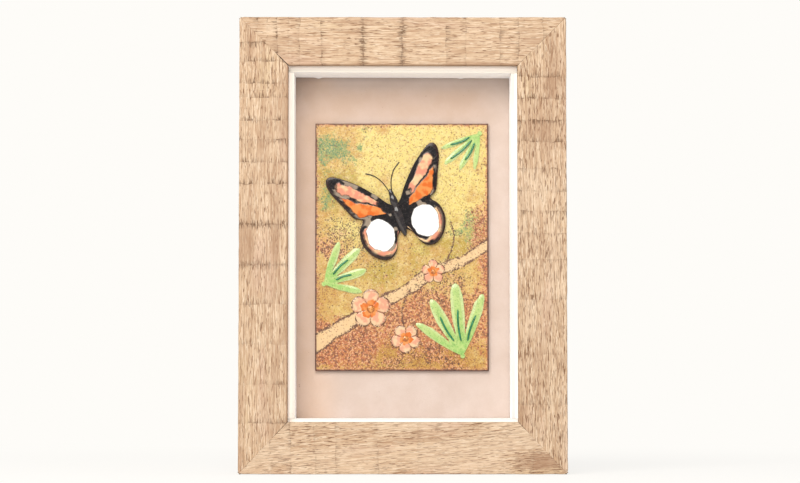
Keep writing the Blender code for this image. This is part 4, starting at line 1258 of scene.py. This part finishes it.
def make_stage():
    """A pale floor that fades into the backdrop, a soft key from the upper left and even fill."""
    material = bpy.data.materials.new("pale_floor")
    material.use_nodes = True
    tree = material.node_tree
    tree.nodes.clear()
    diffuse, glow = tree.nodes.new("ShaderNodeBsdfDiffuse"), tree.nodes.new("ShaderNodeEmission")
    diffuse.inputs["Color"].default_value = (0.9, 0.88, 0.85, 1.0)
    glow.inputs["Color"].default_value = BACKDROP
    path = tree.nodes.new("ShaderNodeLightPath")
    length = tree.nodes.new("ShaderNodeVectorMath")
    length.operation = "LENGTH"
    tree.links.new(object_place(tree), length.inputs[0])
    far = between(tree, length.outputs["Value"], 0.10, 0.55, 0.78, 1.0)
    share = times(tree, far, path.outputs["Is Camera Ray"])
    both = tree.nodes.new("ShaderNodeMixShader")
    tree.links.new(share, both.inputs[0])
    tree.links.new(diffuse.outputs[0], both.inputs[1])
    tree.links.new(glow.outputs[0], both.inputs[2])
    output = tree.nodes.new("ShaderNodeOutputMaterial")
    tree.links.new(both.outputs[0], output.inputs["Surface"])
    mesh = bpy.data.meshes.new("floor")
    mesh.from_pydata([(x * FLOOR_HALF, y * FLOOR_HALF, 0)
                      for x, y in ((-1, -1), (1, -1), (1, 1), (-1, 1))], [], [(0, 1, 2, 3)])
    mesh.materials.append(material)
    floor = bpy.data.objects.new("floor", mesh)
    bpy.context.scene.collection.objects.link(floor)

    world = bpy.data.worlds.new("soft_studio")
    bpy.context.scene.world = world
    world.use_nodes = True
    tree = world.node_tree
    back = tree.nodes["Background"]
    path = tree.nodes.new("ShaderNodeLightPath")
    tree.links.new(blend(tree, path.outputs["Is Camera Ray"], FILL_LIGHT, BACKDROP),
                   back.inputs["Color"])
    back.inputs["Strength"].default_value = 1.0

    light = bpy.data.lights.new("soft_key", "AREA")
    light.shape, light.size, light.size_y = "RECTANGLE", KEY_SIZE, KEY_SIZE
    light.energy, light.color = KEY_WATTS, KEY_COLOUR
    key = bpy.data.objects.new("soft_key", light)
    x, y, z = KEY_DIRECTION
    key.location = (np.array([0, 0, FRAME_HEIGHT / 2])
                    + KEY_DISTANCE * KEY_DIRECTION / np.linalg.norm(KEY_DIRECTION))
    key.rotation_euler = (math.atan2(math.hypot(x, y), z), 0, math.atan2(y, x) + math.pi / 2)
    bpy.context.scene.collection.objects.link(key)


def make_camera():
    """The photograph's camera: about a metre away, a little below the middle, looking up."""
    data = bpy.data.cameras.new("camera")
    data.lens, data.sensor_width = LENS, SENSOR
    data.clip_start, data.clip_end = 0.05, 50.0
    camera = bpy.data.objects.new("camera", data)
    camera.location = CAMERA_PLACE
    camera.rotation_euler = (CAMERA_PITCH, 0.0, CAMERA_TURN)
    bpy.context.scene.collection.objects.link(camera)
    bpy.context.scene.camera = camera
    bpy.context.scene.view_settings.view_transform = "Standard"


def dress(node_name, material):
    """Give a CAD node a better material on every slot of its object."""
    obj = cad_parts[node_name]
    if not obj.material_slots:
        obj.data.materials.append(material)
    for holder in obj.material_slots:
        holder.material = material


def main():
    """Build every piece, the stage and the camera."""
    grains, paper, wear = sifted_grain_group(), paper_fibre_group(), metal_wear_group()
    oak = oak_material()
    make_rails(oak)
    make_slips(card_material(paper))
    dress("mount_board", mount_material(paper))
    dress("back_panel", fibreboard_material(paper))
    steel = plated_material("zinced_steel", wear, linear(196, 198, 198), linear(150, 152, 154),
                            linear(112, 92, 76), 0.34)
    brass = plated_material("brassed_steel", wear, linear(214, 182, 112), linear(176, 142, 84),
                            linear(98, 74, 50), 0.32)
    for side in ("left", "right"):
        for level in ("low", "high"):
            dress(f"back_point_{side}_{level}", steel)
    dress("hanger", brass)
    make_plate(ground_material(grains))
    make_sprays(leaf_material(grains))
    make_threads(glass_material("green_glass", linear(24, 92, 60), linear(44, 128, 84)))
    make_blossoms(blossom_material(grains), glass_material("amber_glass", linear(150, 84, 40),
                                                           linear(206, 140, 70)))
    make_butterfly(wing_material(grains), glass_material("black_glass", linear(26, 20, 20),
                                                         linear(44, 36, 34)))
    make_stage()
    make_camera()


main()
